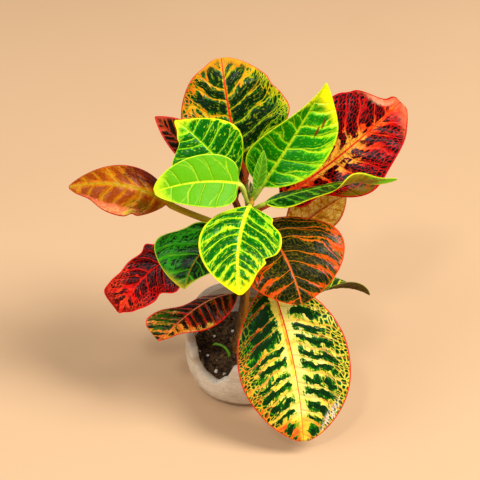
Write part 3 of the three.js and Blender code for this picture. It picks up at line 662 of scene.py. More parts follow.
def skin(rings):
    """Points and faces of a closed skin over rings of points, with its faces outward."""
    rows, n = rings.shape[:2]
    points = np.vstack([rings.reshape(-1, 3), rings[0].mean(0), rings[-1].mean(0)])
    faces = []
    for i in range(rows - 1):
        for j in range(n):
            a = i * n + j
            b = i * n + (j + 1) % n
            faces.append((a, b, b + n, a + n))
    last = (rows - 1) * n
    faces += [((j + 1) % n, j, rows * n) for j in range(n)]
    faces += [(last + j, last + (j + 1) % n, rows * n + 1) for j in range(n)]
    if volume(points, faces) < 0:
        faces = [tuple(reversed(face)) for face in faces]
    return points, faces


def volume(points, faces):
    """Six times the volume that the faces enclose, or below zero if they look inward."""
    total = 0.0
    for k in (1, 2):
        corners = np.array([(f[0], f[k], f[k + 1]) for f in faces if len(f) > k + 1])
        a, b, c = points[corners[:, 0]], points[corners[:, 1]], points[corners[:, 2]]
        total += float(np.einsum("ij,ij->i", a, np.cross(b, c)).sum())
    return total


def unit(vectors):
    """The vectors, each with a length of one."""
    return vectors / np.maximum(np.linalg.norm(vectors, axis=-1, keepdims=True), 1e-9)


def bezier(p, s):
    """Places and directions at s, from 0 to 1, on a curve with four control points."""
    s = np.asarray(s, float)[:, None]
    p = [np.asarray(q, float) for q in p]
    here = ((1 - s) ** 3 * p[0] + 3 * (1 - s) ** 2 * s * p[1] + 3 * (1 - s) * s ** 2 * p[2]
            + s ** 3 * p[3])
    slope = ((1 - s) ** 2 * (p[1] - p[0]) + 2 * (1 - s) * s * (p[2] - p[1])
             + s ** 2 * (p[3] - p[2]))
    return here, unit(slope)


def catmull(points, t):
    """The place and direction at t, from 0 to 1, on a smooth curve through points."""
    p = np.asarray(points, float)
    p = np.vstack([2 * p[0] - p[1], p, 2 * p[-1] - p[-2]])
    place = np.clip(np.asarray(t, float), 0, 1) * (len(points) - 1)
    k = np.minimum(place.astype(int), len(points) - 2)
    w = (place - k)[:, None]
    a, b, c, d = p[k], p[k + 1], p[k + 2], p[k + 3]
    here = 0.5 * (2 * b + (c - a) * w + (2 * a - 5 * b + 4 * c - d) * w ** 2
                  + (3 * b - a - 3 * c + d) * w ** 3)
    slope = 0.5 * ((c - a) + 2 * (2 * a - 5 * b + 4 * c - d) * w
                   + 3 * (3 * b - a - 3 * c + d) * w ** 2)
    return here, unit(slope)


def stem_at(height):
    """The place on the stem's middle line at a height."""
    t = np.linspace(0, 1, 2001)
    here, _ = catmull([q[:3] for q in STEM], t)
    return here[np.argmin(abs(here[:, 2] - height))]


def half(value, side):
    """A value for one half of a leaf, where it may be a pair for left and right."""
    return value[1 if side > 0 else 0] if isinstance(value, tuple) else value


# Leaves
def leaf_frame(leaf, s):
    """Places, directions, normals and sides along a leaf's midrib."""
    base = np.array(leaf["base"], float)
    tip = np.array(leaf["tip"], float)
    chord = tip - base
    line = unit(chord)
    up = np.array(leaf["faces"], float)
    up = unit(up - line * up.dot(line))
    across = np.cross(line, up)
    sway = leaf.get("sway", (0, 0))
    inner = [base + chord * (k + 1) / 3 + up * leaf["bow"][k] + across * sway[k] for k in (0, 1)]
    middle, along = bezier([base, *inner, tip], s)
    normal = unit(up - along * (along @ up)[:, None])
    side = np.cross(along, normal)
    turn = np.radians(leaf.get("twist", 0)) * (np.asarray(s) - TWIST_MIDDLE)[:, None]
    return (middle, along, normal * np.cos(turn) - side * np.sin(turn),
            side * np.cos(turn) + normal * np.sin(turn))


def half_width(leaf, s, side):
    """How far the blade reaches from the midrib on one side, at places s along it."""
    p = half(leaf["p"], side)
    q = half(leaf["q"], side)
    peak = p / (p + q)
    width = leaf["width"] / 2 * (s / peak) ** p * ((1 - s) / (1 - peak)) ** q
    width = width * (1 + leaf.get("lop", 0) * side)
    for at, which, deep, long in leaf.get("nicks", []):
        if which == side:
            width = width * (1 - deep * np.exp(-((s - at) / long) ** 2))
    return np.maximum(width, np.where(s < 0.5, min(RIB_RADIUS, leaf["width"] / 8), TIP_HALF_WIDTH))


def blade(leaf, s, v):
    """Points of the blade's upper side at places s along and v across, and half widths there."""
    middle, _, normal, side_way = leaf_frame(leaf, s)
    points = np.zeros((len(s), len(v), 3))
    wide = np.zeros((len(s), len(v)))
    for j, place in enumerate(v):
        side = 1 if place > 0 else -1
        w = half_width(leaf, s, side)
        turn = np.full(len(s), float(leaf.get("cup", 0)))
        for at, which, degrees, long in leaf.get("curls", []):
            if which == side:
                turn += degrees * np.exp(-((s - at) / long) ** 2)
        u = abs(place) * (np.arange(ARC_STEPS) + 0.5) / ARC_STEPS
        slope = np.radians(leaf.get("fold", 0) + turn[:, None] * u ** 2)
        x = np.cos(slope).sum(1) * abs(place) / ARC_STEPS
        z = np.sin(slope).sum(1) * abs(place) / ARC_STEPS
        height, count, phase = leaf.get("wave", (0, 1, 0))
        ripple = np.sin(2 * np.pi * (count * s + phase + (0.3 if side > 0 else 0)))
        ends = np.minimum(1, np.minimum(4 * s, 4 * (1 - s)))
        lift = height * place ** 2 * ripple * ends
        points[:, j] = (middle + side_way * (side * w * x)[:, None]
                        + normal * (w * z + lift)[:, None])
        wide[:, j] = w
    return points, wide


def vein_phase(look, x, y, seed):
    """How many side veins lie between the leaf's base and a place on it, x across and y along."""
    slant = np.where(x > 0, look["slant"][1], look["slant"][0])
    slant = slant * (1 + 0.15 * np.sin(0.06 * y + 3 * seed)) * (0.6 + 0.8 * y / np.max(y))
    along = y - slant * abs(x) - look["bend"] * x ** 2 / 10
    side = np.where(x > 0, 1.9, 0.0) + seed
    step = along / look["spacing"]
    sway = (0.13 * np.sin(2.9 * step + side) + 0.06 * np.sin(5.3 * step + 2.3 * side)
            + 0.07 * np.sin(0.21 * abs(x) + 0.07 * y + side))
    return step + sway


def stalk_rings(leaf, count, steps):
    """Rings of a grooved stalk from the stem to the blade, and how far along each is."""
    radius = leaf.get("stalk_radius", STALK_RADIUS)
    root = stem_at(leaf["stalk"])
    base = np.array(leaf["base"], float)
    out = np.array([base[0] - root[0], base[1] - root[1], 0.0])
    out = unit(out) * 0.8 + np.array([0, 0, 0.6])
    reach = np.linalg.norm(base - root)
    _, along0, normal0, _ = leaf_frame(leaf, np.array([0.0]))
    curve = [root, root + out * reach / 3, base - along0[0] * reach / 3, base]
    first = min(STALK_START / reach, 0.5)
    t = first + (1 - first) * np.arange(steps) / steps
    here, along = bezier(curve, t)
    normal = unit(normal0 - along * (along @ normal0[0])[:, None])
    side = np.cross(along, normal)
    angle = np.pi - (np.arange(count) + 0.5) * 2 * np.pi / count
    swell = 1 + 0.3 * np.exp(-t * reach / 5) + 0.12 * np.exp(-((1 - t) * reach / 5) ** 2)
    groove = 1 - 0.16 * np.exp(-((angle - np.pi / 2) / 0.45) ** 2)
    out = (side[:, None] * np.cos(angle)[None, :, None]
           + normal[:, None] * np.sin(angle)[None, :, None])
    size = radius * 0.95 * swell[:, None, None] * groove[None, :, None]
    drop = normal * (-radius * t)[:, None]
    return here[:, None] + out * size + drop[:, None], t


def leaf_layers(blade_layers, t, count):
    """The attributes of a leaf, at the stalk's points and then at the blade's.

    place is the share across, the share along and the distance to the margin. vein is the distance
    across and along, and the vein phase. zone is the underside, the stalk and the share along the
    stalk. Distances are in centimetres."""
    on_stalk = np.repeat((t - 1)[:, None], count, axis=1)
    nought = np.zeros_like(on_stalk)
    stalk_layers = {
        "place": (nought, on_stalk, nought + 1),
        "vein": (nought, on_stalk * 3, nought),
        "zone": (nought, nought + 1, on_stalk + 1),
    }
    attributes = {}
    for key, stalk_values in stalk_layers.items():
        pairs = zip(stalk_values, blade_layers[key])
        full = np.stack([np.concatenate(pair) for pair in pairs], axis=-1)
        attributes[key] = np.vstack([full.reshape(-1, 3), full[0].mean(0), full[-1].mean(0)])
    return attributes


def blade_normals(leaf, points, s):
    """Normals of the blade's upper side, turned the way that the midrib faces."""
    normal = unit(np.cross(np.gradient(points, axis=1), np.gradient(points, axis=0)))
    facing = np.sign(np.einsum("ijk,ik->ij", normal, leaf_frame(leaf, s)[2]))
    flip = facing[:, points.shape[1] // 2][:, None, None]
    return normal * np.where(flip == 0, 1, flip)


def make_leaf(name, leaf, look, seed):
    spread = np.linspace(-1, 1, LEAF_COLUMNS)
    v = np.sign(spread) * abs(spread) ** 1.2
    s = 0.012 + 0.98 * (np.arange(LEAF_ROWS + 1) / LEAF_ROWS)
    points, wide = blade(leaf, s, v)
    steps = np.linalg.norm(np.diff(leaf_frame(leaf, s)[0], axis=0), axis=1)
    x = wide * v
    y = np.concatenate([[0], np.cumsum(steps)])[:, None] + 0 * x
    phase = vein_phase(look, x, y, seed)
    to_vein = 1 - abs(2 * ((phase + np.where(x > 0, 0.5, 0.0)) % 1) - 1)
    reach = abs(v)[None, :]
    ends = np.minimum(1, np.minimum(8 * s, 6 * (1 - s)))[:, None]

    swell = np.sin(to_vein * np.pi / 2) * np.sin(np.pi * np.clip(reach, 0, 1) ** 0.7)
    rib = np.exp(-(x / RIB_SPREAD) ** 2)
    vein = np.exp(-(to_vein * look["spacing"] / 2 / VEIN_SPREAD) ** 2) * (1 - reach) ** 0.5
    lift = (look["quilt"] * (swell - 0.6) - 0.35 * rib) * ends
    normal = blade_normals(leaf, points, s)
    top = points + normal * lift[..., None]
    radius = min(leaf.get("stalk_radius", STALK_RADIUS), RIB_RADIUS)
    keel = np.maximum(2 * radius * (1 - s) ** 0.8 - 0.6, 0.0)[:, None]
    thick = BLADE_THICK - BLADE_THINNER * reach ** 4 + keel * rib + VEIN_THICK * vein * ends
    under = top - normal * thick[..., None]
    stalk, t = stalk_rings(leaf, 2 * len(v), STALK_ROWS)

    def both(values):
        return np.concatenate([values, values[:, ::-1]], axis=1)

    below = np.concatenate([0 * x, 0 * x + 1], axis=1)
    layers = {
        "place": (both(v + 0 * x), both(s[:, None] + 0 * x), both(wide * (1 - reach)) / 10),
        "vein": (both(x) / 10, both(y) / 10, both(phase)),
        "zone": (below, 0 * below, 0 * below),
    }
    mesh = skin(np.concatenate([stalk, np.concatenate([top, under[:, ::-1]], axis=1)]))
    piece_from(name + "_blade", *mesh, leaf_material(name, look, seed), name, look["slot"],
               leaf_layers(layers, t, 2 * len(v)))


# Leaf materials
def leaf_places(g, look, seed):
    """Where a point lies on its leaf and among the side veins and cells, and the noises there."""
    at = SimpleNamespace()
    at.v, at.s, edge = g.parts("place")
    x, y, phase = g.parts("vein")
    at.under, at.stalk, at.along_stalk = g.parts("zone")
    at.edge = edge * 10
    at.out = g.math("ABSOLUTE", x)
    at.reach = g.math("ABSOLUTE", at.v)
    at.flat = g.vector(x, y, seed * 3.7)
    at.big = g.noise(at.flat, 0.9) - 0.5
    at.mid = g.noise(at.flat, 3.2, 3.0) - 0.5
    at.fine = g.noise(at.flat, 11.0, 3.0, 0.6) - 0.5

    right = g.math("GREATER_THAN", at.v, 0.0)
    pitch = look["spacing"] / 10
    at.rows = phase + right * 0.5 + at.mid * 0.12 + at.big * 0.15
    at.gap = g.math("PINGPONG", at.rows, 0.5) * 2
    at.to_vein = at.gap * (look["spacing"] / 2)
    start = right * 30.0 + seed * 7
    lane_x = at.out * look["lane"] + at.fine * 0.10 + start
    lane_y = at.rows * pitch + at.fine * 0.12
    centre, at.tone, at.crack = g.mosaic(g.vector(lane_x, lane_y, 0.0), 10 / look["cell_size"])
    at.cell_gap = g.math("PINGPONG", centre[1] / pitch, 0.5) * 2
    at.cell_out = (centre[0] - start) / look["lane"]

    def grain(along, across, side, *settings):
        """Noise with a scale of its own along the side veins and across them."""
        where = g.vector(at.out * along, at.rows * pitch * across, right * side + seed)
        return g.noise(where, *settings)

    at.streak = grain(1.3, 4.5, 5.0, 1.6, 3.0, 0.65) - 0.5
    at.teeth = grain(7.0, 1.6, 3.0, 1.0, 2.0, 0.6) - 0.5
    if look["specks"]:
        at.specks = g.smooth(grain(3.2, 8.0, 9.0, 1.0, 1.0), 0.58, 0.68)
    return at


def leaf_warmth(g, look, at):
    """How warm the colour is, how much the dark field grows, and the patches to paint."""
    start, along, across, by_reach, by_noise = look["warm"]
    warm = start + at.s * along + at.v * across + at.reach * by_reach + at.big * (2 * by_noise)
    warm = warm + at.mid * (0.8 * by_noise) + at.streak * (0.6 * by_noise)
    extra = 0.0
    paints = []
    for at_s, at_v, long, wide, kind, value in look["patches"]:
        ds = (at.s - at_s) / long
        dv = (at.v - at_v) / wide
        away = g.math("SQRT", ds * ds + dv * dv) + at.mid * 0.8 + at.big * 0.5 + at.fine * 0.5
        amount = g.fade(away, 0.6, 1.25)
        if kind == "warm":
            warm = warm + amount * value
        elif kind == "field":
            extra = amount * value + extra
        else:
            if kind == "mottled":
                amount = amount * g.smooth(at.streak + at.teeth + at.fine * 0.5, -0.03, 0.06)
            paints.append((amount * 0.85, value))
    return warm, extra, paints


def leaf_field(g, look, at, extra):
    """Above zero where it is dark: ragged bands between the side veins, and cells further out."""
    near, far = look["mosaic"]
    share = near + at.reach * (far - near)
    band = g.blend(share, at.gap, at.cell_gap) - look["vein"] - at.reach * look["vein_grow"]
    band = band + (at.tone - 0.5) * share * look["scatter"]
    clear = look["rib_clear"] * (1 - at.s * 0.5)
    ribwards = (g.blend(share, at.out, at.cell_out) * 10 - clear) * 0.18
    base = g.math("MINIMUM", band, ribwards)
    base = base + at.streak * look["feather"] + at.teeth * look["teeth"] + extra
    base = base + at.fine * (0.35 * look["feather"])
    island = (at.crack - look["cell_line"]) * 2.2 + at.fine * 0.25 + extra * 0.5
    outer = g.smooth(at.reach + at.big * 0.5, *look["cells"])
    field = g.blend(outer, base, g.math("MINIMUM", base + look["cell_fill"], island))
    return g.math("MINIMUM", field, (at.edge - look["edge_clear"]) * 0.3 + at.mid * 0.5)


def leaf_veins(g, look, at):
    """How strongly the side veins and their forks show."""
    half_line, strength, _ = look["line"]
    thick = half_line * (1.15 - at.reach * 0.5)
    veined = g.fade(at.to_vein + at.mid * 0.8, thick * 0.6, thick * 1.4 + 0.25)
    veined = veined * strength * (1 - g.smooth(at.reach, 0.7, 1.0) * 0.75)
    fork_from, fork_strength = look["fork"]
    turn = g.smooth(at.reach + at.big * 0.4, fork_from, 1.25) * 0.6
    to_fork = g.math("ABSOLUTE", g.math("FRACT", at.rows) - turn) * look["spacing"]
    forked = g.fade(to_fork + at.mid * 0.8, thick * 0.4, thick + 0.25)
    forked = forked * g.smooth(turn, 0.02, 0.06) * (strength * fork_strength)
    return g.math("MAXIMUM", veined, forked * (1 - g.smooth(at.reach, 0.8, 1.0) * 0.6))


def leaf_marks(g, look, at):
    """How strongly the veins, the net, the midrib, the margin and the tip show."""
    rib_half, _ = look["rib"]
    margin_wide, _ = look["margin"]
    mark = SimpleNamespace()
    mark.vein = leaf_veins(g, look, at)
    mark.net = g.fade(at.crack, 0.03, 0.11)
    mark.rib = g.fade(at.out * 10 + at.s * (0.7 * rib_half), rib_half * 0.75, rib_half * 1.25)
    mark.margin = g.fade(at.edge + at.fine * 0.6, margin_wide * 0.7, margin_wide * 1.5)
    if look["tip"]:
        start, _ = look["tip"]
        tipwards = at.s + at.mid * 0.12 + at.reach * at.reach * 0.1
        mark.tip = g.smooth(tipwards, start - 0.07, start + 0.07)
    return mark


def leaf_upper(g, look, at, mark):
    """The colour of the upper side: ground and dark fields, and the marks in layers on them."""
    warm, extra, paints = leaf_warmth(g, look, at)
    field = leaf_field(g, look, at, extra)
    ground = g.ramp(warm + at.fine * 0.3, look["ground"])
    depth = 0.85 - field * 2.0 + at.big * 0.7 + at.mid * 0.5 + (at.tone - 0.5) * 0.5
    blotch = g.smooth(field, -look["soft"], look["soft"])
    colour = g.colours(blotch, ground, g.ramp(depth, look["dark"]))
    layers = [(mark.vein, g.ramp(warm, look["line"][2]))]
    if look["net"]:
        layers.append((mark.net * look["net"][0], look["net"][1]))
    if look["specks"]:
        layers.append((at.specks * look["specks"][0], look["specks"][1]))
    layers += paints
    if look["tip"]:
        layers.append((mark.tip, look["tip"][1]))
    layers += [(mark.rib, look["rib"][1]), (mark.margin, look["margin"][1])]
    for amount, code in layers:
        colour = g.colours(amount, colour, code)
    return g.shaded(colour, 0.95 + at.fine * 0.5)


def leaf_lower(g, look, at, mark):
    """The colour of the underside."""
    colour = g.ramp(at.big * 1.4 + at.mid * 1.6 + at.fine * 1.0 + 0.5, look["under"])
    veins = g.math("MAXIMUM", mark.vein * 0.7, mark.rib) * 0.8
    colour = g.colours(veins, colour, look["under_vein"])
    colour = g.colours(mark.net * look["under_net"], colour, look["under"][0])
    if look["under_tip"]:
        colour = g.colours(mark.tip * look["under_tip"], colour, look["tip"][1])
    return g.colours(mark.margin * 0.8, colour, look["margin"][1])


def leaf_material(name, look, seed):
    g = Graph(name)
    at = leaf_places(g, look, seed)
    mark = leaf_marks(g, look, at)
    colour = g.colours(at.under, leaf_upper(g, look, at, mark), leaf_lower(g, look, at, mark))
    green = g.ramp(at.along_stalk + g.noise(g.place(), 500.0) * 0.3 - 0.15, look["stalk"])
    colour = g.colours(at.stalk, colour, green)
    grain = g.noise(at.flat, 26.0, 2.0)
    rough = g.blend(at.under, look["rough"] + at.big * 0.16 + grain * 0.1, 0.55)
    rough = g.blend(at.stalk, rough, 0.45)
    groove = g.smooth(at.to_vein, 0.0, 2.2) * (0.9 - g.smooth(at.s, 0.78, 0.92) * 0.8)
    g.bump(groove + at.big * 1.2 + at.mid * 0.35 + grain * 0.04, 0.0007)
    return g.surface(colour, rough, Specular_IOR_Level=0.12)


# Pot
def eased(pairs, place):
    """A value that eases from each pair of place and value to the next."""
    places = np.array([p[0] for p in pairs], float)
    values = np.array([p[1] for p in pairs], float)
    k = np.clip(np.searchsorted(places, place, side="right") - 1, 0, len(pairs) - 2)
    t = np.clip((place - places[k]) / (places[k + 1] - places[k]), 0, 1)
    return values[k] + (values[k + 1] - values[k]) * t * t * (3 - 2 * t)


def pot_radius(z):
    """The pot's outer radius at a height."""
    z = np.asarray(z, float)
    low = np.clip(z, 0, POT_BELLY_HEIGHT) / POT_BELLY_HEIGHT
    swell = (1 - (1 - low) ** 2.2) ** 0.625
    below = POT_BASE_RADIUS + (POT_BELLY_RADIUS - POT_BASE_RADIUS) * swell
    rise = np.clip((z - POT_BELLY_HEIGHT) / POT_NECK_RISE, 0, None)
    return np.where(z < POT_BELLY_HEIGHT, below, POT_BELLY_RADIUS - POT_NECK_IN * rise ** 1.8)


def hand_made(bearing):
    """How far out of round the pot is, as a factor of its radius."""
    a = np.radians(bearing)
    return 1 + 0.006 * np.sin(2 * a + 0.7) + 0.004 * np.sin(5 * a)


def around(bearing, radius, z):
    """Points at bearings from the front, a radius and a height."""
    a = np.radians(bearing)
    return np.stack([radius * np.sin(a), -radius * np.cos(a), z + 0 * a], axis=-1)


def lumps(point, size, seed=0.0):
    """Smooth noise from -1 to 1 at a place in millimetres."""
    return noise.noise(Vector((point[0] / size + seed, point[1] / size, point[2] / size)))


def bearings(count):
    """Even bearings round the pot, in degrees from its front."""
    return -180 + 360 * np.arange(count) / count


def pot_rings(bearing):
    """Rings up the outside, over the rim and down the inside, each with how worn it is."""
    top = eased(RIM, bearing)
    hand = hand_made(bearing)
    rings = []
    for f in np.linspace(0, 1, POT_OUTSIDE_ROWS) ** 1.15 * 0.955:
        size = pot_radius(f * top) * (hand if f > 0 else 1)
        rings.append((around(bearing, size, f * top), 1.0 if f > 0.03 else 0.0))
    for angle in np.linspace(0.12, 0.94, POT_RIM_ROWS) * np.pi:
        z = top + POT_RIM_ROUND * (np.sin(angle) ** 0.8 - 1)
        inset = POT_WALL * (1 - math.cos(angle)) / 2
        rings.append((around(bearing, (pot_radius(top) - inset) * hand, z), 0.7))
    for f in np.linspace(0.06, 1, POT_INSIDE_ROWS):
        z = top + (POT_FLOOR - top) * f
        inset = POT_WALL + (POT_INNER_FOOT if f > 0.98 else 0)
        rings.append((around(bearing, (pot_radius(z) - inset) * hand, z), 0.4))
    return rings


def weather(p, wear):
    """Moves a point of the pot in or out, for soft dents, turned bands and small pits."""
    out = Vector((p[0], p[1], 0)).normalized()
    bands = 0.16 * math.sin(p[2] * 1.9 + 2.5 * lumps(p, 30)) * (0.6 + lumps(p, 14, 7))
    pit = max(0.0, lumps((p[0], p[1], p[2] * 1.6), 2.6, 3) - 0.42) * 1.9
    move = (0.30 * lumps(p, 16) + 0.10 * lumps(p, 3.5) + bands - pit - 0.15) * wear
    p[0] += out.x * move
    p[1] += out.y * move


def make_pot():
    rings = []
    for ring, wear in pot_rings(bearings(POT_SIDES)):
        for p in ring:
            weather(p, wear)
        rings.append(ring)
    piece_from("pot_body", *skin(np.array(rings)), pot_material(), "pot", "pot")


def pot_material():
    g = Graph("pot")
    place = g.place()
    x, y, z = g.split(place)
    belt = g.vector(x, y, z * 7.0)
    cloud = g.noise(place, 26.0, 4.0, 0.6)
    streak = g.noise(belt, 42.0, 5.0, 0.65)
    grain = g.noise(place, 420.0, 4.0, 0.7)
    pits = g.cells(g.vector(x, y, z * 1.4), 190.0)
    colour = g.ramp(cloud * 0.55 + streak * 0.45,
                    ["6E5E44", "A89678", "D8CEBC", "F0EADE", "B4A68C"])
    tan = g.smooth(g.noise(belt, 17.0, 3.0) + streak * 0.4, 0.72, 0.92)
    colour = g.colours(tan * 0.6, colour, "B98F5E")
    # Painted shade: the pot darkens towards its foot, where it meets the floor
    foot_shade = g.fade(z + (cloud - 0.5) * 0.012, 0.001, 0.012)
    colour = g.colours(foot_shade * 0.5, colour, "6E5C44")
    speck = g.fade(pits, 0.05, 0.2)
    colour = g.colours(speck * g.smooth(cloud, 0.42, 0.6) * 0.75, colour, "5E4F3C")
    colour = g.shaded(colour, 0.77 + grain * 0.36)
    g.bump(streak * 0.8 + grain * 0.5 - speck * 0.9 + cloud * 0.4, 0.0005)
    return g.surface(colour, 0.72 + grain * 0.22, Specular_IOR_Level=0.35)


# Soil
def soil_height(x, y):
    """The plain surface of the soil, as in the frame's source."""
    waves = (np.sin(0.31 * x + 1.1) * np.cos(0.27 * y + 0.4)
             + 0.6 * np.sin(0.53 * x - 0.41 * y + 2.0))
    return SOIL_MIDDLE + SOIL_SLOPE * y + SOIL_LUMP * waves


def soil_edge(bearing):
    """Where the soil's surface meets the pot's wall, by the height that the two agree on."""
    point = around(bearing, POT_BELLY_RADIUS - POT_WALL, SOIL_MIDDLE)
    below_rim = eased(RIM, bearing) - SOIL_BELOW_RIM
    for _ in range(4):
        z = np.minimum(soil_height(point[..., 0], point[..., 1]), below_rim)
        inner = (pot_radius(z) - POT_WALL) * hand_made(bearing) - 0.4
        point = around(bearing, inner, 0)
        point[..., 2] = z
    return point


def soil_top(edge, share):
    """Points of the plain surface, at a share of the way from the middle to the edge."""
    x, y = edge[..., 0] * share, edge[..., 1] * share
    plain = soil_height(x, y)
    return np.stack([x, y, plain + (edge[..., 2] - plain) * share ** 6], axis=-1)


def random_spot(rnd, limit):
    """A random point of the plain surface, up to a share of the way to the edge."""
    edge = soil_edge(np.array([rnd.uniform(-180, 180)]))[0]
    return soil_top(edge, math.sqrt(rnd.random()) * limit)


def make_soil():
    bearing = bearings(SOIL_SIDES)
    edge = soil_edge(bearing)
    floor = POT_FLOOR + SEAT
    rings = []
    for f in (0.0, 0.5, 0.9):
        z = floor + (edge[:, 2] - floor) * f
        inner = (pot_radius(z) - POT_WALL) * hand_made(bearing) - (6 if f == 0 else 0.8)
        rings.append(around(bearing, inner, z))
    for f in np.linspace(1, 0.02, SOIL_ROWS):
        ring = soil_top(edge, f)
        for p in ring:
            rise = 1.5 * lumps(p, 5, 2) + 0.9 * lumps(p, 2.2, 9) + 0.35 * lumps(p, 1.0, 4)
            p[2] += rise * min(1, (1.001 - f) * 8) + SOIL_LIFT
        rings.append(ring)
    piece_from("soil_bed", *skin(np.array(rings)), soil_material("soil", False), "soil", "soil")


def soil_material(name, loose):
    g = Graph(name)
    place = g.place()
    big = g.noise(place, 90.0, 4.0, 0.6)
    crumb = g.noise(place, 420.0, 4.0, 0.7)
    fibre = g.cells(place, 260.0, "DISTANCE_TO_EDGE")
    colour = g.ramp(big * 0.5 + crumb * 0.5, ["0C0805", "2A1C10", "4E3820", "735838", "2D1E12"])
    if loose:
        colour = g.colours(g.parts("tone")[0], colour, "9A7A4E")
    colour = g.colours(g.fade(fibre, 0.0, 0.05) * 0.35, colour, "5A4430")
    # Painted shade: near-black patches stand for the shade in the gaps between crumbs
    painted_gap_shade = g.fade(g.noise(place, 230.0, 3.0), 0.4, 0.53)
    colour = g.colours(painted_gap_shade * 0.8, colour, "060403")
    g.bump(crumb * 0.8 + big, 0.0012)
    return g.surface(colour, 0.88, Specular_IOR_Level=0.25)


def rock(radius, seed, rough, stretch, size):
    """Points and faces of a small lump, with size for its rows and sides."""
    rows, sides = size
    rnd = random.Random(seed)
    shift = Vector((rnd.random() * 50, 0, 0))
    spin = Vector((rnd.uniform(-1, 1), rnd.uniform(-1, 1), rnd.uniform(-1, 1))).normalized()
    turn = spin.to_track_quat("Z", "Y")
    rings = []
    for i in range(rows):
        polar = math.pi * (i + 0.5) / rows
        ring = []
        for j in range(sides):
            a = 2 * math.pi * j / sides
            d = Vector((math.sin(polar) * math.cos(a), math.sin(polar) * math.sin(a),
                        math.cos(polar)))
            p = d * (1 + rough * 1.6 * noise.noise(d * 1.3 + shift)) * radius
            ring.append((turn @ (p * Vector(stretch)))[:])
        rings.append(ring)
    return skin(np.array(rings))


def join(parts):
    """One list of points and faces from several, and each part's number at its points."""
    faces, owner = [], []
    start = 0
    for k, (points, part_faces) in enumerate(parts):
        faces += [tuple(start + i for i in face) for face in part_faces]
        owner += [k] * len(points)
        start += len(points)
    return np.vstack([points for points, _ in parts]), faces, owner


def make_crumbs():
    rnd = random.Random(CRUMB_SEED)
    parts, tones = [], []
    for _ in range(CRUMBS):
        spot = random_spot(rnd, 0.97)
        size = min(rnd.lognormvariate(0.0, 0.5), 3.2)
        shape = (1, rnd.uniform(0.6, 1), rnd.uniform(0.45, 0.9))
        kind = SMALL_ROCK if size < 1.2 else LARGE_ROCK
        points, faces = rock(size, rnd.random(), 0.45, shape, kind)
        parts.append((points + spot + np.array([0, 0, CRUMB_LIFT + size * 0.2]), faces))
        tones.append(rnd.random() ** 3 * 0.8)
    points, faces, owner = join(parts)
    piece_from("soil_crumbs", points, faces, soil_material("crumbs", True), None, "soil",
               {"tone": np.array(tones)[owner]})


def make_perlite():
    rnd = random.Random(PERLITE_SEED)
    places = list(PERLITE)
    for _ in range(LOOSE_PERLITE):
        places.append((*random_spot(rnd, 0.93)[:2], rnd.uniform(0.5, 1.1)))
    parts = []
    for x, y, r in places:
        points, faces = rock(r, rnd.random(), 0.4, (1, 0.85, 0.75), LARGE_ROCK)
        z = soil_height(x, y) + SOIL_LIFT + r * 0.25
        parts.append((points + np.array([x, y, z]), faces))
    points, faces, _ = join(parts)
    piece_from("perlite", points, faces, perlite_material(), None, "soil")


def perlite_material():
    g = Graph("perlite")
    place = g.place()
    grain = g.noise(place, 900.0, 3.0, 0.7)
    pores = g.cells(place, 1500.0)
    g.bump(pores + grain, 0.0004, 0.8)
    return g.surface(g.ramp(grain, ["A89C8C", "E6E1D7", "F5F2EC"]), 0.8)


# Stem and small growth
def tube(line, sides, rows, shape=None):
    """Rings round a smooth curve through places with radii.

    shape gives a factor for the radius, from the place along, the angle and the point."""
    t = np.linspace(0, 1, rows)
    here, along = catmull([q[:3] for q in line], t)
    radius = np.interp(t * (len(line) - 1), range(len(line)), [q[3] for q in line])
    side = unit(np.cross(np.array([0.0, 1.0, 0.0]), along))
    other = np.cross(along, side)
    a = 2 * np.pi * np.arange(sides) / sides
    size = np.repeat(radius[:, None], sides, axis=1)
    if shape:
        size = size * shape(t, a, here)
    return (here[:, None] + side[:, None] * (size * np.cos(a))[..., None]
            + other[:, None] * (size * np.sin(a))[..., None])


def bark(t, a, here):
    """The stem's swellings and scars where leaves sit or sat, and its fine lumps."""
    height = here[:, 2][:, None]
    size = np.ones((len(t), len(a)))
    scars = [(leaf["stalk"], math.atan2(leaf["base"][1], leaf["base"][0]))
             for leaf in LEAVES.values()]
    for at, bearing in scars + OLD_SCARS:
        near = np.exp(-((height - at) / 2.2) ** 2)
        toward = np.exp(-((np.angle(np.exp(1j * (a - bearing)))) / 0.7) ** 2)[None, :]
        ring = np.exp(-((height - at + 2.6) / 0.5) ** 2)
        size += near * (0.05 + 0.16 * toward) - 0.05 * ring * (0.4 + toward)
    for i in range(len(t)):
        for j in range(len(a)):
            p = (math.cos(a[j]) * 5, math.sin(a[j]) * 5, here[i, 2] * 0.35)
            size[i, j] += 0.035 * lumps(p, 1.4) + 0.03 * lumps(p, 4, 3)
    return size - 0.04


def make_stem():
    rings = tube(STEM, STEM_SIDES, STEM_ROWS, bark)
    middle = rings.mean(axis=1, keepdims=True)
    # How far right of the stem's middle each point lies, which places the bark's painted shade and
    # painted light
    side = np.concatenate([((rings - middle)[..., 0] / 5).ravel(), [0, 0]])
    piece_from("stem_bark", *skin(rings), stem_material(), "stem", "stem", {"side": side})


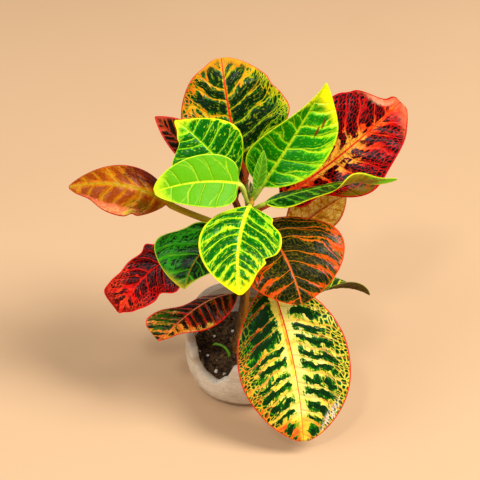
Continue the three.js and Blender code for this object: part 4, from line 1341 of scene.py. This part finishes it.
def stem_material():
    """Bark that is green at the top, with painted shade on its left side and painted light in gold
    on its right.
    """
    g = Graph("stem")
    x, y, z = g.split(g.place())
    long = g.noise(g.vector(x, y, z * 0.16), 420.0, 4.0, 0.65)
    blot = g.noise(g.vector(x, y, z * 0.5), 130.0, 3.0)
    lens = g.cells(g.vector(x, y, z * 0.7), 330.0)
    old = g.ramp(long * 0.6 + blot * 0.4, ["1E1207", "46290D", "8C5C14", "BE8A1E", "6E4612"])
    young = g.ramp(long * 0.5 + blot * 0.5, ["3C460F", "6E7819", "96912A"])
    colour = g.colours(g.smooth(z + (blot - 0.5) * 0.04, 0.14, 0.215), old, young)
    toward_light = g.parts("side")[0] + (blot - 0.5) * 1.2
    # Painted shade on the stem's left side
    colour = g.colours(g.fade(toward_light, -0.75, -0.15) * 0.75, colour, "1C1006")
    # Painted light, in gold, on the stem's right side
    colour = g.colours(g.smooth(toward_light, -0.15, 0.4) * 0.8, colour, "DC9B14")
    colour = g.colours(g.fade(lens, 0.1, 0.3) * 0.5, colour, "B09468")
    g.bump(long + lens * 0.5, 0.0006)
    return g.surface(colour, 0.62)


def small_leaf(root, tip, up, width, fold):
    """A closed blade of a tiny leaf."""
    root, tip, up = (np.array(q, float) for q in (root, tip, up))
    along = unit(tip - root)
    up = unit(up - along * up.dot(along))
    side = np.cross(along, up)
    s = np.linspace(0, 1, SHOOT_ROWS)
    v = np.linspace(-1, 1, SHOOT_COLUMNS)
    half_wide = width / 2 * np.sin(np.pi * np.clip(s, 0.04, 0.985) ** 0.8)
    length = np.linalg.norm(tip - root)
    bow = 0.14 * length * np.sin(np.pi * s)
    top = (root + np.outer(s * length, along))[:, None] + up * bow[:, None, None]
    top = top + side * (half_wide[:, None] * v * math.cos(fold))[..., None]
    top = top + up * (half_wide[:, None] * abs(v) * math.sin(fold))[..., None]
    under = top - up * (0.5 - 0.2 * abs(v) + 0.3 * np.exp(-(v / 0.15) ** 2))[None, :, None]
    return skin(np.concatenate([top, under[:, ::-1]], axis=1))


def shoot_material(name, codes):
    g = Graph(name)
    place = g.place()
    cloud = g.noise(place, 220.0, 3.0)
    rib = g.noise(g.vector(place, place, place), 900.0, 2.0)
    colour = g.ramp(cloud, codes)
    g.bump(cloud + rib * 0.3, 0.0003, 0.6)
    return g.surface(colour, 0.4, Coat_Weight=0.15, Coat_Roughness=0.2)


def make_shoot(name, node, codes, parts):
    points, faces, _ = join(parts)
    piece_from(name, points, faces, shoot_material(node, codes), node, "shoot")


def make_small_growth():
    make_shoot("side_shoot_leaves", "side_shoot", ["7DA014", "A8C828", "CDE146"], [
        small_leaf((3.0, -9.8, 85), (8.6, -14.2, 95.2), (0.5, -0.6, 0.4), 5.4, 0.5),
        small_leaf((3.0, -9.4, 84.5), (4.2, -13.8, 93.2), (-0.3, -0.8, 0.3), 4.2, 0.6),
    ])
    make_shoot("growing_point_leaves", "growing_point", ["465A14", "6E8C23", "96B43C"], [
        small_leaf((6.2, -1.6, 224), (5.2, 0.6, 239.5), (-0.6, -0.4, 0.1), 4.0, 0.9),
        small_leaf((6.4, -1.0, 224), (7.8, 0.9, 236), (0.7, -0.3, 0.1), 3.4, 0.9),
        small_leaf((6.3, -0.6, 224), (6.6, 2.2, 237.5), (0.1, 0.9, 0.1), 3.2, 0.8),
    ])
    make_shoot("seedling_sprout", "seedling", ["32780A", "64AA14", "96D223"], [
        skin(tube(SPROUT, SPROUT_SIDES, SPROUT_ROWS)),
        small_leaf((-24, -11.5, 55.0), (-31.5, -9.0, 53.0), (0.1, -0.5, 0.9), 3.2, 0.3),
    ])


# Surroundings
def make_stage():
    mesh = bpy.data.meshes.new("floor")
    r = FLOOR_REACH
    mesh.from_pydata([(-r, -r, 0), (r, -r, 0), (r, r, 0), (-r, r, 0)], [], [(0, 1, 2, 3)])
    g = Graph("floor")
    colour = g.colours(g.noise(g.place(), 3.0, 3.0), "DAB58E", "E1BD96")
    mesh.materials.append(g.surface(colour, 0.8, Specular_IOR_Level=0.2))
    floor = add_object("floor", mesh)


def add_light(name, place, aim, size, power, colour):
    data = bpy.data.lights.new(name, "AREA")
    data.shape = "DISK"
    data.size = size
    data.energy = power
    data.color = colour
    lamp = add_object(name, data)
    lamp.location = place
    lamp.rotation_euler = (Vector(aim) - Vector(place)).to_track_quat("-Z", "Y").to_euler()


def make_light():
    for name, settings in LIGHTS.items():
        add_light(name, *settings)
    world = bpy.data.worlds.new("studio")
    world.use_nodes = True
    background = world.node_tree.nodes["Background"]
    background.inputs["Color"].default_value = SKY_COLOUR
    background.inputs["Strength"].default_value = SKY_STRENGTH
    bpy.context.scene.world = world


def make_camera():
    data = bpy.data.cameras.new("camera")
    data.lens = LENS
    data.sensor_width = SENSOR
    camera = add_object("camera", data)
    tilt = math.radians(ELEVATION)
    camera.location = AIM + DISTANCE * Vector((0, -math.cos(tilt), math.sin(tilt)))
    camera.rotation_euler = (math.pi / 2 - tilt, 0, 0)
    bpy.context.scene.camera = camera


make_camera()
make_stage()
make_light()
make_pot()
make_soil()
make_crumbs()
make_perlite()
make_stem()
make_small_growth()
for number, (leaf_name, leaf_shape) in enumerate(LEAVES.items()):
    leaf_look = {**PLAIN_LOOK, **LOOKS[leaf_name]}
    make_leaf(leaf_name, leaf_shape, leaf_look, LEAF_SEED + number * LEAF_SEED_STEP)

bpy.context.scene.view_settings.view_transform = "Standard"
